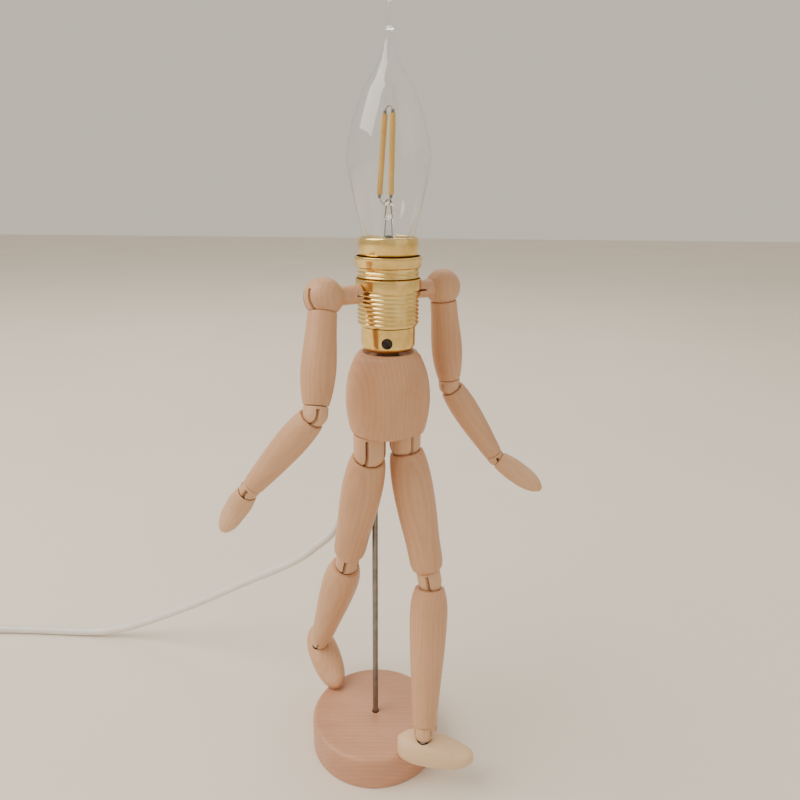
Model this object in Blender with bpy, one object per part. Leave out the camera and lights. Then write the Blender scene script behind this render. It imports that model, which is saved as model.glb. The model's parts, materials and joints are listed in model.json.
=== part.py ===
"""Wooden artist's mannequin made into a small table lamp, as separate pieces.

Metres, +Z up. The origin is the centre of the base's underside, where the rod's axis meets the table.
The figure stands on a steel rod. A brass lampholder takes the place of its chest and a candle bulb that
of its head. "right" and "left" are the figure's own: its right side is at -X.
Every limb hangs from a knuckle: a wooden block with a flat face that turns on the piece above, and a
rounded end that bends in the lip of the piece below, held by a steel fork and pin in two saw kerfs.
"""
import math
from dataclasses import dataclass

import bmesh
import bpy
from mathutils import Matrix, Vector

# Clearances
GAP = 0.0003            # between pieces that touch
KERF_PLAY = 0.0003      # beside each fork tine

# Base and rod
BASE_RADIUS = 0.035
BASE_HEIGHT = 0.018
BASE_EDGE = 0.0026      # radius of its upper edge
BASE_FOOT_EDGE = 0.0008
ROD_RADIUS = 0.0015
ROD_SEAT = 0.012        # depth of the rod in the base
ROD_GRIP = 0.014        # depth of the rod in the pelvis

# Figure
FIGURE_X = 0.0065       # the pelvis's axis, from the rod's
FIGURE_Y = -0.012
FIGURE_YAW = math.radians(35)
PELVIS_HEIGHT = 0.0375
PELVIS_TOP = 0.0135     # radii
PELVIS_BELLY = 0.0194
PELVIS_FOOT = 0.0173
HIP_SPREAD = 0.010      # from the pelvis's axis to each hip
SHOULDER_REACH = {"right": 0.0320, "left": 0.0302}
SHOULDER_RISE = 0.0264  # shoulders' height over the pelvis's top
BELLY_FLAT = 0.0150     # from the pelvis's axis to the flat on its front, at its underside
BELLY_LEAN = math.radians(7)
DISH_DEPTH = 0.0022     # of the hollow in the pelvis's top
DISH_RADIUS = 0.0113

# Limb lengths, pivot to pivot
THIGH_LENGTH = 0.074
SHIN_LENGTH = 0.0788
UPPER_ARM_LENGTH = 0.0482
FOREARM_LENGTH = 0.048
HAND_LENGTH = 0.028
FOOT_AHEAD = 0.0258     # toe's and heel's distance from the ankle
FOOT_BEHIND = 0.0137
FOOT_DEPTH = 0.0148     # from the ankle's pin to the sole
FOOT_HALF_WIDTH = 0.0083

# Lampholder, for an E14 bulb
HOLDER_RISE = 0.0006    # its underside over the pelvis's top
HOLDER_CAP_RADIUS = 0.0121
HOLDER_CAP_HEIGHT = 0.0112
HOLDER_CAP_DOME = 0.0035
HOLDER_WALL = 0.0009
SKIRT_RADIUS = 0.0136   # crest of the outer thread
THREAD_DEPTH = 0.0005
THREAD_PITCH = 0.0026
SKIRT_HEIGHT = 0.0380
COLLAR_HEIGHT = 0.0114
COLLAR_RADIUS = 0.0130
LOWER_RING_RISE = 0.0273
LOWER_RING_HEIGHT = 0.0045
LOWER_RING_RADIUS = 0.0144
UPPER_RING_RISE = 0.0368
UPPER_RING_HEIGHT = 0.0045
UPPER_RING_RADIUS = 0.0148
NIPPLE_RADIUS = 0.0049
NIPPLE_BORE = 0.0035
NIPPLE_DEPTH = 0.012    # of its grip in the pelvis
NIPPLE_TOP = 0.0062     # over the cap's underside
LOCK_RADIUS = 0.0021    # grub screw in the cap
LOCK_RISE = 0.0050
INSERT_RISE = 0.0022    # heights over the cap's top: the porcelain's underside, its floor and its top
INSERT_FLOOR = 0.0082
INSERT_TOP = 0.0127
SHELL_TOP = 0.0295
SHELL_WALL = 0.0006
SHELL_PLAY = 0.0008     # between the shell and the bulb's thread
CONTACT_RADIUS = 0.0015
CONTACT_SPRING = 0.0018 # height of the sprung contact over the porcelain's floor

# Bulb, a flame-tip candle of 35 mm diameter
BULB_RADIUS = 0.0175
BULB_WALL = 0.0007
BULB_SEAT = -0.004      # heights over the lampholder's rim: the glass's lower end and its tip
BULB_TIP = 0.0880
BULB_MOUTH = 0.0108     # radius where the glass enters the collar
BULB_CAP_RADIUS = 0.0066
FILAMENT_RADIUS = 0.0012
FILAMENT_LENGTH = 0.034
FILAMENT_RISE = 0.0158

# Cord
CORD_RADIUS = 0.0025
CORD_RISE = 0.0205      # exit's height over the pelvis's underside
CORD_HEADING = math.radians(97)  # way out of the pelvis's back
CORD_PLAY = 0.0008      # round the cord in the pelvis's hole
GLAND_START = 0.0125    # distances from the pelvis's axis: inner end, collar, outer end
GLAND_COLLAR = 0.0197
GLAND_END = 0.0345
COIL_CENTRE = (-0.305, 0.05145)
COIL_TURN_RADIUS = 0.0292
COIL_HALF_WIDTH = 0.0106  # of its bundle, four turns wide and two high
COIL_LANE = 0.00795     # from the middle of the bundle to its outer turn
COIL_HEIGHT = 0.0106
PLUG_WIDTH = 0.0353
PLUG_DEPTH = 0.0137
PLUG_BODY = 0.036
PLUG_TAIL = 0.012
PLUG_TAIL_RADIUS = 0.0033
PIN_LENGTH = 0.019
PIN_RADIUS = 0.002
PIN_SPACING = 0.019
PLUG_SIDES = 12

# Spring that holds the arms' tenons against the lampholder
SPRING_RADIUS = 0.0010
SPRING_DROP = 0.0016

SEGMENTS = 14           # sides of a turned limb
FINE = 20               # sides of a turned metal piece


@dataclass(frozen=True)
class Knuckle:
    """Sizes of a joint: its block's rounded end, flat face, lip below and kerfs."""

    radius: float
    height: float        # pin to flat face
    rim_depth: float     # pin to the lip of the piece below
    kerf_offset: float   # middle to each kerf
    tine: float = 0.0008
    tine_width: float = 0.0022

    @property
    def cup(self):
        return self.radius + GAP

    @property
    def bore(self):
        """Radius of the hole that the fork's bridge sits in."""
        return math.hypot(self.kerf_offset + self.tine / 2, self.tine_width / 2) + GAP

    @property
    def rim_radius(self):
        return math.sqrt(self.cup ** 2 - self.rim_depth ** 2)


HIP = Knuckle(radius=0.0075, height=0.0090, rim_depth=0.0040, kerf_offset=0.0047)
KNEE = Knuckle(radius=0.0060, height=0.0070, rim_depth=0.0032, kerf_offset=0.0039)
ANKLE = Knuckle(radius=0.0052, height=0.0040, rim_depth=0.0030, kerf_offset=0.0031)
ELBOW = Knuckle(radius=0.0052, height=0.0032, rim_depth=0.0028, kerf_offset=0.0030)
WRIST = Knuckle(radius=0.0043, height=0.0030, rim_depth=0.0022, kerf_offset=0.0024, tine_width=0.0018)
SHOULDER = Knuckle(radius=0.0083, height=0.0, rim_depth=0.0064, kerf_offset=0.0026)
SHANK_RADIUS = 0.0010
SHANK_LENGTH = 0.0070
PIN_BODY_RADIUS = 0.0007
KERF_ROOF = 0.0012      # wood left between a kerf's end and the flat face
TENON_RADIUS = 0.0040

# Outlines: (share of the length from lip to end, radius)
THIGH_OUTLINE = [(0, .0081), (.10, .0093), (.27, .0101), (.5, .0098), (.75, .0088), (.92, .0083), (1, .0079)]
SHIN_OUTLINE = [(0, .0076), (.09, .0091), (.2, .0096), (.45, .0089), (.72, .0075), (.92, .0066), (1, .0063)]
UPPER_ARM_OUTLINE = [(0, .0061), (.2, .0064), (.45, .0071), (.64, .0073), (.84, .0066), (1, .0054)]
FOREARM_OUTLINE = [(0, .0058), (.12, .0064), (.32, .0067), (.6, .0061), (.85, .0052), (1, .0046)]
HAND_OUTLINE = [(0, .0046), (.15, .0052), (.42, .0060), (.68, .0056), (.88, .0038), (.97, .0019)]

# Pose, as (heading from +X, tilt from straight down) of each limb, in degrees
POSE = {
    "right": {"thigh": (124.2, 18.4), "shin": (123.9, 26.2),
              "upper_arm": (-97.7, 22.1), "forearm": (168.7, 40.1), "hand": (159.0, 35.6)},
    "left": {"thigh": (-21.9, 11.3), "shin": (-96.4, 13.7),
             "upper_arm": (26.7, 6.6), "forearm": (12.4, 33.0), "hand": (-20.0, 60.0)},
}
LEFT_FOOT_HEADING = math.radians(-10)
RIGHT_FOOT_HEADING = math.radians(-62)
RIGHT_FOOT_ROLL = math.radians(15)
TOE_TOUCH = 0.0232      # where the trailing sole comes down, ahead of the ankle
TOE_CLEARANCE = 0.0006

COLOURS = {
    "beech": ((0.62, 0.40, 0.26, 1), 0.55, 0.0),
    "base_beech": ((0.55, 0.33, 0.24, 1), 0.50, 0.0),
    "knuckle_beech": ((0.70, 0.47, 0.30, 1), 0.55, 0.0),
    "brass": ((0.83, 0.61, 0.26, 1), 0.22, 1.0),
    "steel": ((0.55, 0.55, 0.56, 1), 0.30, 1.0),
    "dark_steel": ((0.06, 0.055, 0.05, 1), 0.40, 1.0),
    "porcelain": ((0.86, 0.84, 0.80, 1), 0.25, 0.0),
    "glass": ((0.92, 0.95, 0.95, 1), 0.03, 0.0),
    "filament": ((0.95, 0.72, 0.25, 1), 0.45, 0.0),
    "white_plastic": ((0.90, 0.90, 0.89, 1), 0.40, 0.0),
}


# ---------------------------------------------------------------- directions and frames

def direction(heading_tilt):
    """Unit vector of a (heading, tilt from straight down) pair in degrees."""
    heading, tilt = (math.radians(angle) for angle in heading_tilt)
    across = math.sin(tilt)
    return Vector((across * math.cos(heading), across * math.sin(heading), -math.cos(tilt)))


def frame_at(place, pin, up):
    """Matrix whose X is the pin, whose Z is close to up, and whose origin is place."""
    side = pin.normalized()
    ahead = up.cross(side).normalized()
    top = side.cross(ahead)
    matrix = Matrix((side, ahead, top)).transposed().to_4x4()
    matrix.translation = place
    return matrix


def turned_frame(place, axis):
    """Matrix whose Z runs along axis from place."""
    matrix = axis.to_track_quat("Z", "Y").to_matrix().to_4x4()
    matrix.translation = place
    return matrix


FIGURE_FRONT = Vector((math.sin(FIGURE_YAW), -math.cos(FIGURE_YAW), 0))
FIGURE_LEFT = Vector((math.cos(FIGURE_YAW), math.sin(FIGURE_YAW), 0))
SIDE_SIGN = {"right": -1, "left": 1}


def left_leg_drop():
    """Height of the hip's pin over the sole of the standing left foot."""
    pose = POSE["left"]
    return FOOT_DEPTH - THIGH_LENGTH * direction(pose["thigh"]).z - SHIN_LENGTH * direction(pose["shin"]).z


HIP_HEIGHT = BASE_HEIGHT + GAP + left_leg_drop()
PELVIS_UNDER = HIP_HEIGHT + HIP.height + GAP
PELVIS_CROWN = PELVIS_UNDER + PELVIS_HEIGHT
HOLDER_BASE = PELVIS_CROWN + HOLDER_RISE
HOLDER_RIM = HOLDER_BASE + HOLDER_CAP_HEIGHT + SKIRT_HEIGHT
SHOULDER_HEIGHT = PELVIS_CROWN + SHOULDER_RISE
CORD_EXIT_HEIGHT = PELVIS_UNDER + CORD_RISE
CORD_AIM = Vector((math.cos(CORD_HEADING), math.sin(CORD_HEADING), 0))


def on_axis(height):
    """Point of the figure's upright axis at a height."""
    return Vector((FIGURE_X, FIGURE_Y, height))


def joint_places(side):
    """Pin positions of one side's leg and arm, and the directions of its limbs."""
    aim = {limb: direction(angles) for limb, angles in POSE[side].items()}
    hip = on_axis(HIP_HEIGHT) + FIGURE_LEFT * (SIDE_SIGN[side] * HIP_SPREAD)
    knee = hip + aim["thigh"] * THIGH_LENGTH
    ankle = knee + aim["shin"] * SHIN_LENGTH
    shoulder = on_axis(SHOULDER_HEIGHT) + FIGURE_LEFT * (SIDE_SIGN[side] * SHOULDER_REACH[side])
    elbow = shoulder + aim["upper_arm"] * UPPER_ARM_LENGTH
    wrist = elbow + aim["forearm"] * FOREARM_LENGTH
    places = {"hip": hip, "knee": knee, "ankle": ankle, "shoulder": shoulder, "elbow": elbow, "wrist": wrist}
    return places, aim


def pin_axis(above, below):
    """Axis of the pin that lets below bend away from above."""
    cross = above.cross(below)
    return cross.normalized() if cross.length > 0.02 else FIGURE_LEFT.copy()


def foot_frame(side, ankle):
    """Matrix of a foot: Y to the toe, Z up from the sole, origin at the ankle's pin."""
    if side == "left":
        toe = Vector((math.cos(LEFT_FOOT_HEADING), math.sin(LEFT_FOOT_HEADING), 0))
        return frame_at(ankle, toe.cross(Vector((0, 0, 1))), Vector((0, 0, 1)))
    # The trailing foot is pitched until its toe is just over the base.
    drop = ankle.z - BASE_HEIGHT - TOE_CLEARANCE
    reach = math.hypot(TOE_TOUCH, FOOT_DEPTH)
    pitch = math.asin(min(1.0, drop / reach)) - math.atan2(FOOT_DEPTH, TOE_TOUCH)
    turn = Matrix.Rotation(RIGHT_FOOT_HEADING - math.pi / 2, 4, "Z")
    turn = turn @ Matrix.Rotation(-pitch, 4, "X") @ Matrix.Rotation(RIGHT_FOOT_ROLL, 4, "Y")
    turn.translation = ankle
    return turn


# ---------------------------------------------------------------- materials and objects

def material(name):
    """The named finish, made once."""
    found = bpy.data.materials.get(name)
    if found:
        return found
    colour, roughness, metallic = COLOURS[name]
    made = bpy.data.materials.new(name)
    made.use_nodes = True
    shader = made.node_tree.nodes["Principled BSDF"]
    shader.inputs["Base Color"].default_value = colour
    shader.inputs["Roughness"].default_value = roughness
    shader.inputs["Metallic"].default_value = metallic
    made.diffuse_color = colour
    return made


def add_object(name, bm, finish, matrix=None):
    """Turn a bmesh into a named, smooth-shaded object."""
    bmesh.ops.recalc_face_normals(bm, faces=bm.faces[:])
    mesh = bpy.data.meshes.new(name)
    bm.to_mesh(mesh)
    bm.free()
    mesh.shade_smooth()
    mesh.set_sharp_from_angle(angle=math.radians(40))
    obj = bpy.data.objects.new(name, mesh)
    bpy.context.collection.objects.link(obj)
    if finish:
        mesh.materials.append(material(finish))
    if matrix is not None:
        obj.matrix_world = matrix
    return obj


def cut(part, cutter, operation="DIFFERENCE"):
    """Cut (or join) one object with another, which is hidden as a guide."""
    cutter.hide_render = True
    cutter.display_type = "WIRE"
    boolean = part.modifiers.new(cutter.name, "BOOLEAN")
    boolean.operation = operation
    boolean.object = cutter
    boolean.solver = "EXACT"


# ---------------------------------------------------------------- shapes

def revolve(profile, segments=SEGMENTS):
    """Closed turned body from (radius, height) points that start and end on the axis."""
    bm = bmesh.new()
    verts = [bm.verts.new((radius, 0, height)) for radius, height in profile]
    edges = [bm.edges.new(pair) for pair in zip(verts, verts[1:])]
    bmesh.ops.spin(bm, geom=verts + edges, cent=(0, 0, 0), axis=(0, 0, 1),
                   angle=2 * math.pi, steps=segments, use_merge=True)
    bmesh.ops.remove_doubles(bm, verts=bm.verts[:], dist=1e-6)
    return bm


def ring_body(profile, segments=FINE):
    """Turned ring from a closed loop of (radius, height) points."""
    bm = bmesh.new()
    verts = [bm.verts.new((radius, 0, height)) for radius, height in profile]
    edges = [bm.edges.new(pair) for pair in zip(verts, verts[1:] + verts[:1])]
    bmesh.ops.spin(bm, geom=verts + edges, cent=(0, 0, 0), axis=(0, 0, 1),
                   angle=2 * math.pi, steps=segments, use_merge=True)
    bmesh.ops.remove_doubles(bm, verts=bm.verts[:], dist=1e-6)
    return bm


def arc(centre, radius, start, stop, steps):
    """Points of an arc in the profile plane, angles in degrees."""
    angles = [math.radians(start + (stop - start) * i / steps) for i in range(steps + 1)]
    return [(centre[0] + radius * math.cos(a), centre[1] + radius * math.sin(a)) for a in angles]


def smooth_outline(stations, count):
    """Points of a smooth curve through (share, radius) stations."""
    def slope(i):
        low, high = max(i - 1, 0), min(i + 1, len(stations) - 1)
        return (stations[high][1] - stations[low][1]) / (stations[high][0] - stations[low][0])

    points = []
    last = stations[-1][0]
    for step in range(count + 1):
        share = last * step / count
        i = max(k for k in range(len(stations) - 1) if stations[k][0] <= share + 1e-9)
        (s0, r0), (s1, r1) = stations[i], stations[i + 1]
        width = s1 - s0
        t = (share - s0) / width
        radius = ((2 * t ** 3 - 3 * t ** 2 + 1) * r0 + (t ** 3 - 2 * t ** 2 + t) * width * slope(i)
                  + (3 * t ** 2 - 2 * t ** 3) * r1 + (t ** 3 - t ** 2) * width * slope(i + 1))
        points.append((share, radius))
    return points


def box(low, high):
    """Box between two corners."""
    bm = bmesh.new()
    bmesh.ops.create_cube(bm, size=1)
    size = [b - a for a, b in zip(low, high)]
    centre = [(a + b) / 2 for a, b in zip(low, high)]
    bmesh.ops.scale(bm, vec=size, verts=bm.verts[:])
    bmesh.ops.translate(bm, vec=centre, verts=bm.verts[:])
    return bm


def skin_rings(bm, rings):
    """Close a body over a row of rings with the same number of points."""
    for ring, following in zip(rings, rings[1:]):
        for k in range(len(ring)):
            nxt = (k + 1) % len(ring)
            bm.faces.new((ring[k], ring[nxt], following[nxt], following[k]))
    bm.faces.new(rings[0])
    bm.faces.new(rings[-1])


def rod_shape(radius, low, high, segments=FINE):
    """Upright cylinder between two heights."""
    return revolve([(0, low), (radius, low), (radius, high), (0, high)], segments)


def along_x(bm):
    """Lay an upright shape along X."""
    bmesh.ops.rotate(bm, cent=(0, 0, 0), matrix=Matrix.Rotation(math.pi / 2, 3, "Y"), verts=bm.verts[:])
    return bm


# ---------------------------------------------------------------- knuckles

def cup_profile(knuckle):
    """Inside of a lip: from its rim down the cup, the fork's bore and the shank's bore to the axis."""
    rim_angle = -math.degrees(math.asin(knuckle.rim_depth / knuckle.cup))
    bore_angle = -math.degrees(math.acos(knuckle.bore / knuckle.cup))
    bore_end = -(knuckle.cup + 2 * GAP + knuckle.tine)
    shank = SHANK_RADIUS + GAP
    shank_end = -(knuckle.cup + SHANK_LENGTH + GAP)
    cup = arc((0, 0), knuckle.cup, rim_angle, bore_angle, 2)
    return cup + [(knuckle.bore, bore_end), (shank, bore_end), (shank, shank_end), (0, shank_end)]


def limb_profile(knuckle, length, outline, end_round, steps=8):
    """Whole profile of a turned limb, pin of its upper joint at the origin, down along -Z."""
    start = -knuckle.rim_depth
    span = -length - start
    lip = outline[0][1]
    outer = [(radius, start + share * span) for share, radius in smooth_outline(outline, steps)]
    end_radius = outer[-1][0]
    if outline[-1][0] < 1:
        tip = [(0, -length), (end_radius * 0.62, start + span * 0.992)]
        return tip + outer[:0:-1] + [(lip, start - end_round), (lip - end_round, start)] + cup_profile(knuckle)
    end = [(0, -length), (end_radius - end_round, -length)]
    if end_round > 0.0008:
        end.append((end_radius - 0.3 * end_round, -length + 0.3 * end_round))
    lowest = (end_radius, -length + end_round)
    body = [point for point in outer[-2:0:-1] if point[1] > lowest[1] + 0.0003]
    lip_round = min(end_round, 0.0006)
    return end + [lowest] + body + [(lip, start - lip_round), (lip - lip_round, start)] + cup_profile(knuckle)


def add_kerfs(part, knuckle, name, matrix):
    """Saw both kerfs and drill the pin's hole through the tongue between them."""
    half = knuckle.tine / 2 + KERF_PLAY
    past = knuckle.radius + 0.001
    for tag, centre in (("a", -knuckle.kerf_offset), ("b", knuckle.kerf_offset)):
        low = (centre - half, -past, -past)
        high = (centre + half, past, knuckle.height - KERF_ROOF)
        cut(part, add_object(f"{name}_kerf_{tag}", box(low, high), None, matrix))
    hole = along_x(rod_shape(PIN_BODY_RADIUS + GAP, -knuckle.kerf_offset, knuckle.kerf_offset, 8))
    cut(part, add_object(f"{name}_hole", hole, None, matrix))


def add_block(name, knuckle, matrix):
    """Wooden knuckle block: flat on top, rounded below, sawn twice and drilled for the pin."""
    edge = 0.0004
    profile = [(0, knuckle.height), (knuckle.radius - edge, knuckle.height),
               (knuckle.radius, knuckle.height - edge)]
    profile += arc((0, 0), knuckle.radius, 0, -78, 5) + [(0, -knuckle.radius)]
    block = add_object(name, revolve(profile), "knuckle_beech", matrix)
    add_kerfs(block, knuckle, name, matrix)
    return block


def add_fork(name, knuckle, matrix):
    """Steel fork: two tines, the bridge that joins them under the block, its shank and the pin."""
    outer = knuckle.kerf_offset + knuckle.tine / 2
    inner = knuckle.kerf_offset - knuckle.tine / 2
    width = knuckle.tine_width / 2
    deck = -(knuckle.cup + GAP)
    under = deck - knuckle.tine
    bm = bmesh.new()
    outline = [(-outer, width), (-inner, width), (-inner, deck), (inner, deck),
               (inner, width), (outer, width), (outer, under), (-outer, under)]
    face = bm.faces.new([bm.verts.new((x, -width, z)) for x, z in outline])
    grown = bmesh.ops.extrude_face_region(bm, geom=[face])
    moved = [v for v in grown["geom"] if isinstance(v, bmesh.types.BMVert)]
    bmesh.ops.translate(bm, vec=(0, 2 * width, 0), verts=moved)
    fork = add_object(name, bm, "steel", matrix)
    pin = along_x(rod_shape(PIN_BODY_RADIUS, -knuckle.kerf_offset, knuckle.kerf_offset, 8))
    cut(fork, add_object(f"{name}_pin", pin, None, matrix), "UNION")
    shank = rod_shape(SHANK_RADIUS, -(knuckle.cup + SHANK_LENGTH), under + knuckle.tine / 2, 8)
    cut(fork, add_object(f"{name}_shank", shank, None, matrix), "UNION")
    return fork


def add_joint(side, joint, knuckle, place, above, below):
    """Block and fork of one joint, and the frame that the limb below hangs in."""
    pin = pin_axis(above, below)
    add_block(f"{side}_{joint}_block", knuckle, frame_at(place, pin, -above))
    hanging = frame_at(place, pin, -below)
    add_fork(f"{side}_{joint}_fork", knuckle, hanging)
    return hanging


# ---------------------------------------------------------------- limbs

def add_limb(name, knuckle, next_knuckle, length, outline, end_round, matrix):
    """Turned limb from one joint's lip to the flat end over the next joint's block."""
    solid_length = length - next_knuckle.height - GAP
    bm = revolve(limb_profile(knuckle, solid_length, outline, end_round))
    return add_object(name, bm, "beech", matrix)


def add_hand(name, matrix):
    """Paddle-shaped hand: turned, then flattened away from the wrist."""
    bm = revolve(limb_profile(WRIST, HAND_LENGTH, HAND_OUTLINE, 0.0005))
    round_end = WRIST.cup + SHANK_LENGTH * 0.35
    for vert in bm.verts:
        share = min(1.0, max(0.0, (-vert.co.z - round_end) / (HAND_LENGTH * 0.3)))
        vert.co.y *= 1 - 0.3 * share
    return add_object(name, bm, "beech", matrix)


def foot_section(along):
    """Half width and height of the foot at a share of its length from heel to toe."""
    middle = 0.46
    off = (middle - along) / middle if along < middle else (along - middle) / (1 - middle)
    power = 2.6 if along < middle else 2.1
    width = FOOT_HALF_WIDTH * math.sqrt(max(0.0, 1 - off ** power)) + 0.0006
    height = FOOT_DEPTH - ANKLE.rim_depth
    height *= 1 - 0.60 * max(0.0, (along - 0.42) / 0.58) ** 1.2
    height *= min(1.0, 0.70 + 0.30 * math.sin(min(1.0, along / 0.16) * math.pi / 2))
    height *= 1 - 0.35 * max(0.0, (along - 0.9) / 0.1) ** 2
    return width, height


def foot_ring(along, points=9):
    """Outline of the foot at a share of its length, as (across, up) points round the section."""
    width, height = foot_section(along)
    toe_lift = 0.0016 * (max(0.0, along - 0.78) / 0.22) ** 2
    heel_lift = 0.0010 * max(0.0, 1 - along / 0.08)
    sole = toe_lift + heel_lift - FOOT_DEPTH
    low = sole + 0.2 * height
    ring = [(width * 0.78, sole), (width, low)]
    for k in range(1, points):
        angle = math.pi * k / points
        across = width * math.copysign(abs(math.cos(angle)) ** 0.8, math.cos(angle))
        ring.append((across, low + (sole + height - low) * math.sin(angle) ** 0.66))
    return ring + [(-width, low), (-width * 0.78, sole)]


def add_foot(side, matrix, joint_matrix):
    """Foot: a flat sole, a domed top that slopes to the toe, and the ankle's cup."""
    bm = bmesh.new()
    length = FOOT_AHEAD + FOOT_BEHIND
    rings = []
    for along in (0.0, 0.02, 0.07, 0.16, 0.3, 0.45, 0.6, 0.74, 0.86, 0.94, 0.985, 1.0):
        y = length * along - FOOT_BEHIND
        rings.append([bm.verts.new((x, y, z)) for x, z in foot_ring(along)])
    skin_rings(bm, rings)
    foot = add_object(f"{side}_foot", bm, "beech", matrix)
    cup = cup_profile(ANKLE)
    bore_angle = -math.degrees(math.acos(ANKLE.bore / ANKLE.cup))
    top = ANKLE.cup + 0.008
    opening = [(0, top), (ANKLE.cup, top)] + arc((0, 0), ANKLE.cup, 0, bore_angle, 4) + cup[-4:]
    cut(foot, add_object(f"{side}_foot_cup", revolve(opening), None, joint_matrix))
    return foot


def add_leg(side):
    """Hip, thigh, knee, shin, ankle and foot of one side."""
    places, aim = joint_places(side)
    down = Vector((0, 0, -1))
    hanging = add_joint(side, "hip", HIP, places["hip"], down, aim["thigh"])
    add_limb(f"{side}_thigh", HIP, KNEE, THIGH_LENGTH, THIGH_OUTLINE, 0.0022, hanging)
    hanging = add_joint(side, "knee", KNEE, places["knee"], aim["thigh"], aim["shin"])
    add_limb(f"{side}_shin", KNEE, ANKLE, SHIN_LENGTH, SHIN_OUTLINE, 0.0010, hanging)
    matrix = foot_frame(side, places["ankle"])
    pin, below = ankle_axes(matrix, aim["shin"])
    add_block(f"{side}_ankle_block", ANKLE, frame_at(places["ankle"], pin, -aim["shin"]))
    seat = frame_at(places["ankle"], pin, -below)
    add_fork(f"{side}_ankle_fork", ANKLE, seat)
    add_foot(side, matrix, seat)


def ankle_axes(matrix, shin):
    """The ankle's pin, square to the shin, and the way the foot hangs from it."""
    across = matrix.to_3x3() @ Vector((1, 0, 0))
    pin = (across - shin * across.dot(shin)).normalized()
    down = matrix.to_3x3() @ Vector((0, 0, -1))
    below = (down - pin * down.dot(pin)).normalized()
    return pin, below


def add_shoulder_ball(side, place, outward, arm):
    """Ball with the tenon that meets the lampholder's ring, kerfed for the arm's fork."""
    pin = pin_axis(outward, arm)
    matrix = frame_at(place, pin, -arm)
    name = f"{side}_shoulder_ball"
    profile = [(0, SHOULDER.radius)] + arc((0, 0), SHOULDER.radius, 77, -77, 10) + [(0, -SHOULDER.radius)]
    ball = add_object(name, revolve(profile, 18), "beech", matrix)
    clear = LOWER_RING_RADIUS + GAP
    near = SHOULDER_REACH[side] - clear
    tenon = revolve([(0, SHOULDER.radius * 0.55), (TENON_RADIUS, SHOULDER.radius * 0.55),
                     (TENON_RADIUS, near - 0.0004), (TENON_RADIUS - 0.0004, near), (0, near)])
    inward = turned_frame(place, -outward)
    cut(ball, add_object(f"{name}_tenon", tenon, None, inward), "UNION")
    slit = box((-0.0004, -0.006, near - 0.0032), (0.0004, 0.006, near + 0.001))
    level = frame_at(place, Vector((0, 0, 1)), -outward)
    cut(ball, add_object(f"{name}_slit", slit, None, level))
    half = SHOULDER.tine / 2 + KERF_PLAY
    for tag, centre in (("a", -SHOULDER.kerf_offset), ("b", SHOULDER.kerf_offset)):
        low = (centre - half, -SHOULDER.radius - 0.001, -SHOULDER.radius - 0.001)
        high = (centre + half, 0.0042, 0.0019)
        cut(ball, add_object(f"{name}_kerf_{tag}", box(low, high), None, matrix))
    hole = along_x(rod_shape(PIN_BODY_RADIUS + GAP, -SHOULDER.kerf_offset, SHOULDER.kerf_offset, 8))
    cut(ball, add_object(f"{name}_hole", hole, None, matrix))
    hanging = frame_at(place, pin, -arm)
    add_fork(f"{side}_shoulder_fork", SHOULDER, hanging)
    return hanging


def add_arm(side):
    """Shoulder, upper arm, elbow, forearm, wrist and hand of one side."""
    places, aim = joint_places(side)
    outward = FIGURE_LEFT * SIDE_SIGN[side]
    hanging = add_shoulder_ball(side, places["shoulder"], outward, aim["upper_arm"])
    add_limb(f"{side}_upper_arm", SHOULDER, ELBOW, UPPER_ARM_LENGTH, UPPER_ARM_OUTLINE, 0.0005, hanging)
    hanging = add_joint(side, "elbow", ELBOW, places["elbow"], aim["upper_arm"], aim["forearm"])
    add_limb(f"{side}_forearm", ELBOW, WRIST, FOREARM_LENGTH, FOREARM_OUTLINE, 0.0005, hanging)
    hanging = add_joint(side, "wrist", WRIST, places["wrist"], aim["forearm"], aim["hand"])
    add_hand(f"{side}_hand", hanging)


# ---------------------------------------------------------------- base, rod and pelvis

def add_base():
    """Turned base with a rounded upper edge and a blind hole for the rod."""
    edge = BASE_EDGE
    bore = ROD_RADIUS + GAP
    floor = BASE_HEIGHT - ROD_SEAT - GAP
    profile = [(0, 0), (BASE_RADIUS - BASE_FOOT_EDGE, 0), (BASE_RADIUS, BASE_FOOT_EDGE)]
    profile += arc((BASE_RADIUS - edge, BASE_HEIGHT - edge), edge, 0, 90, 3)
    profile += [(bore, BASE_HEIGHT), (bore, floor), (0, floor)]
    add_object("base", revolve(profile, 36), "base_beech")


def add_rod():
    """Straight steel rod from the base into the pelvis."""
    low = BASE_HEIGHT - ROD_SEAT
    high = PELVIS_UNDER + ROD_GRIP
    add_object("rod", rod_shape(ROD_RADIUS, low, high, 12), "steel")


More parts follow.
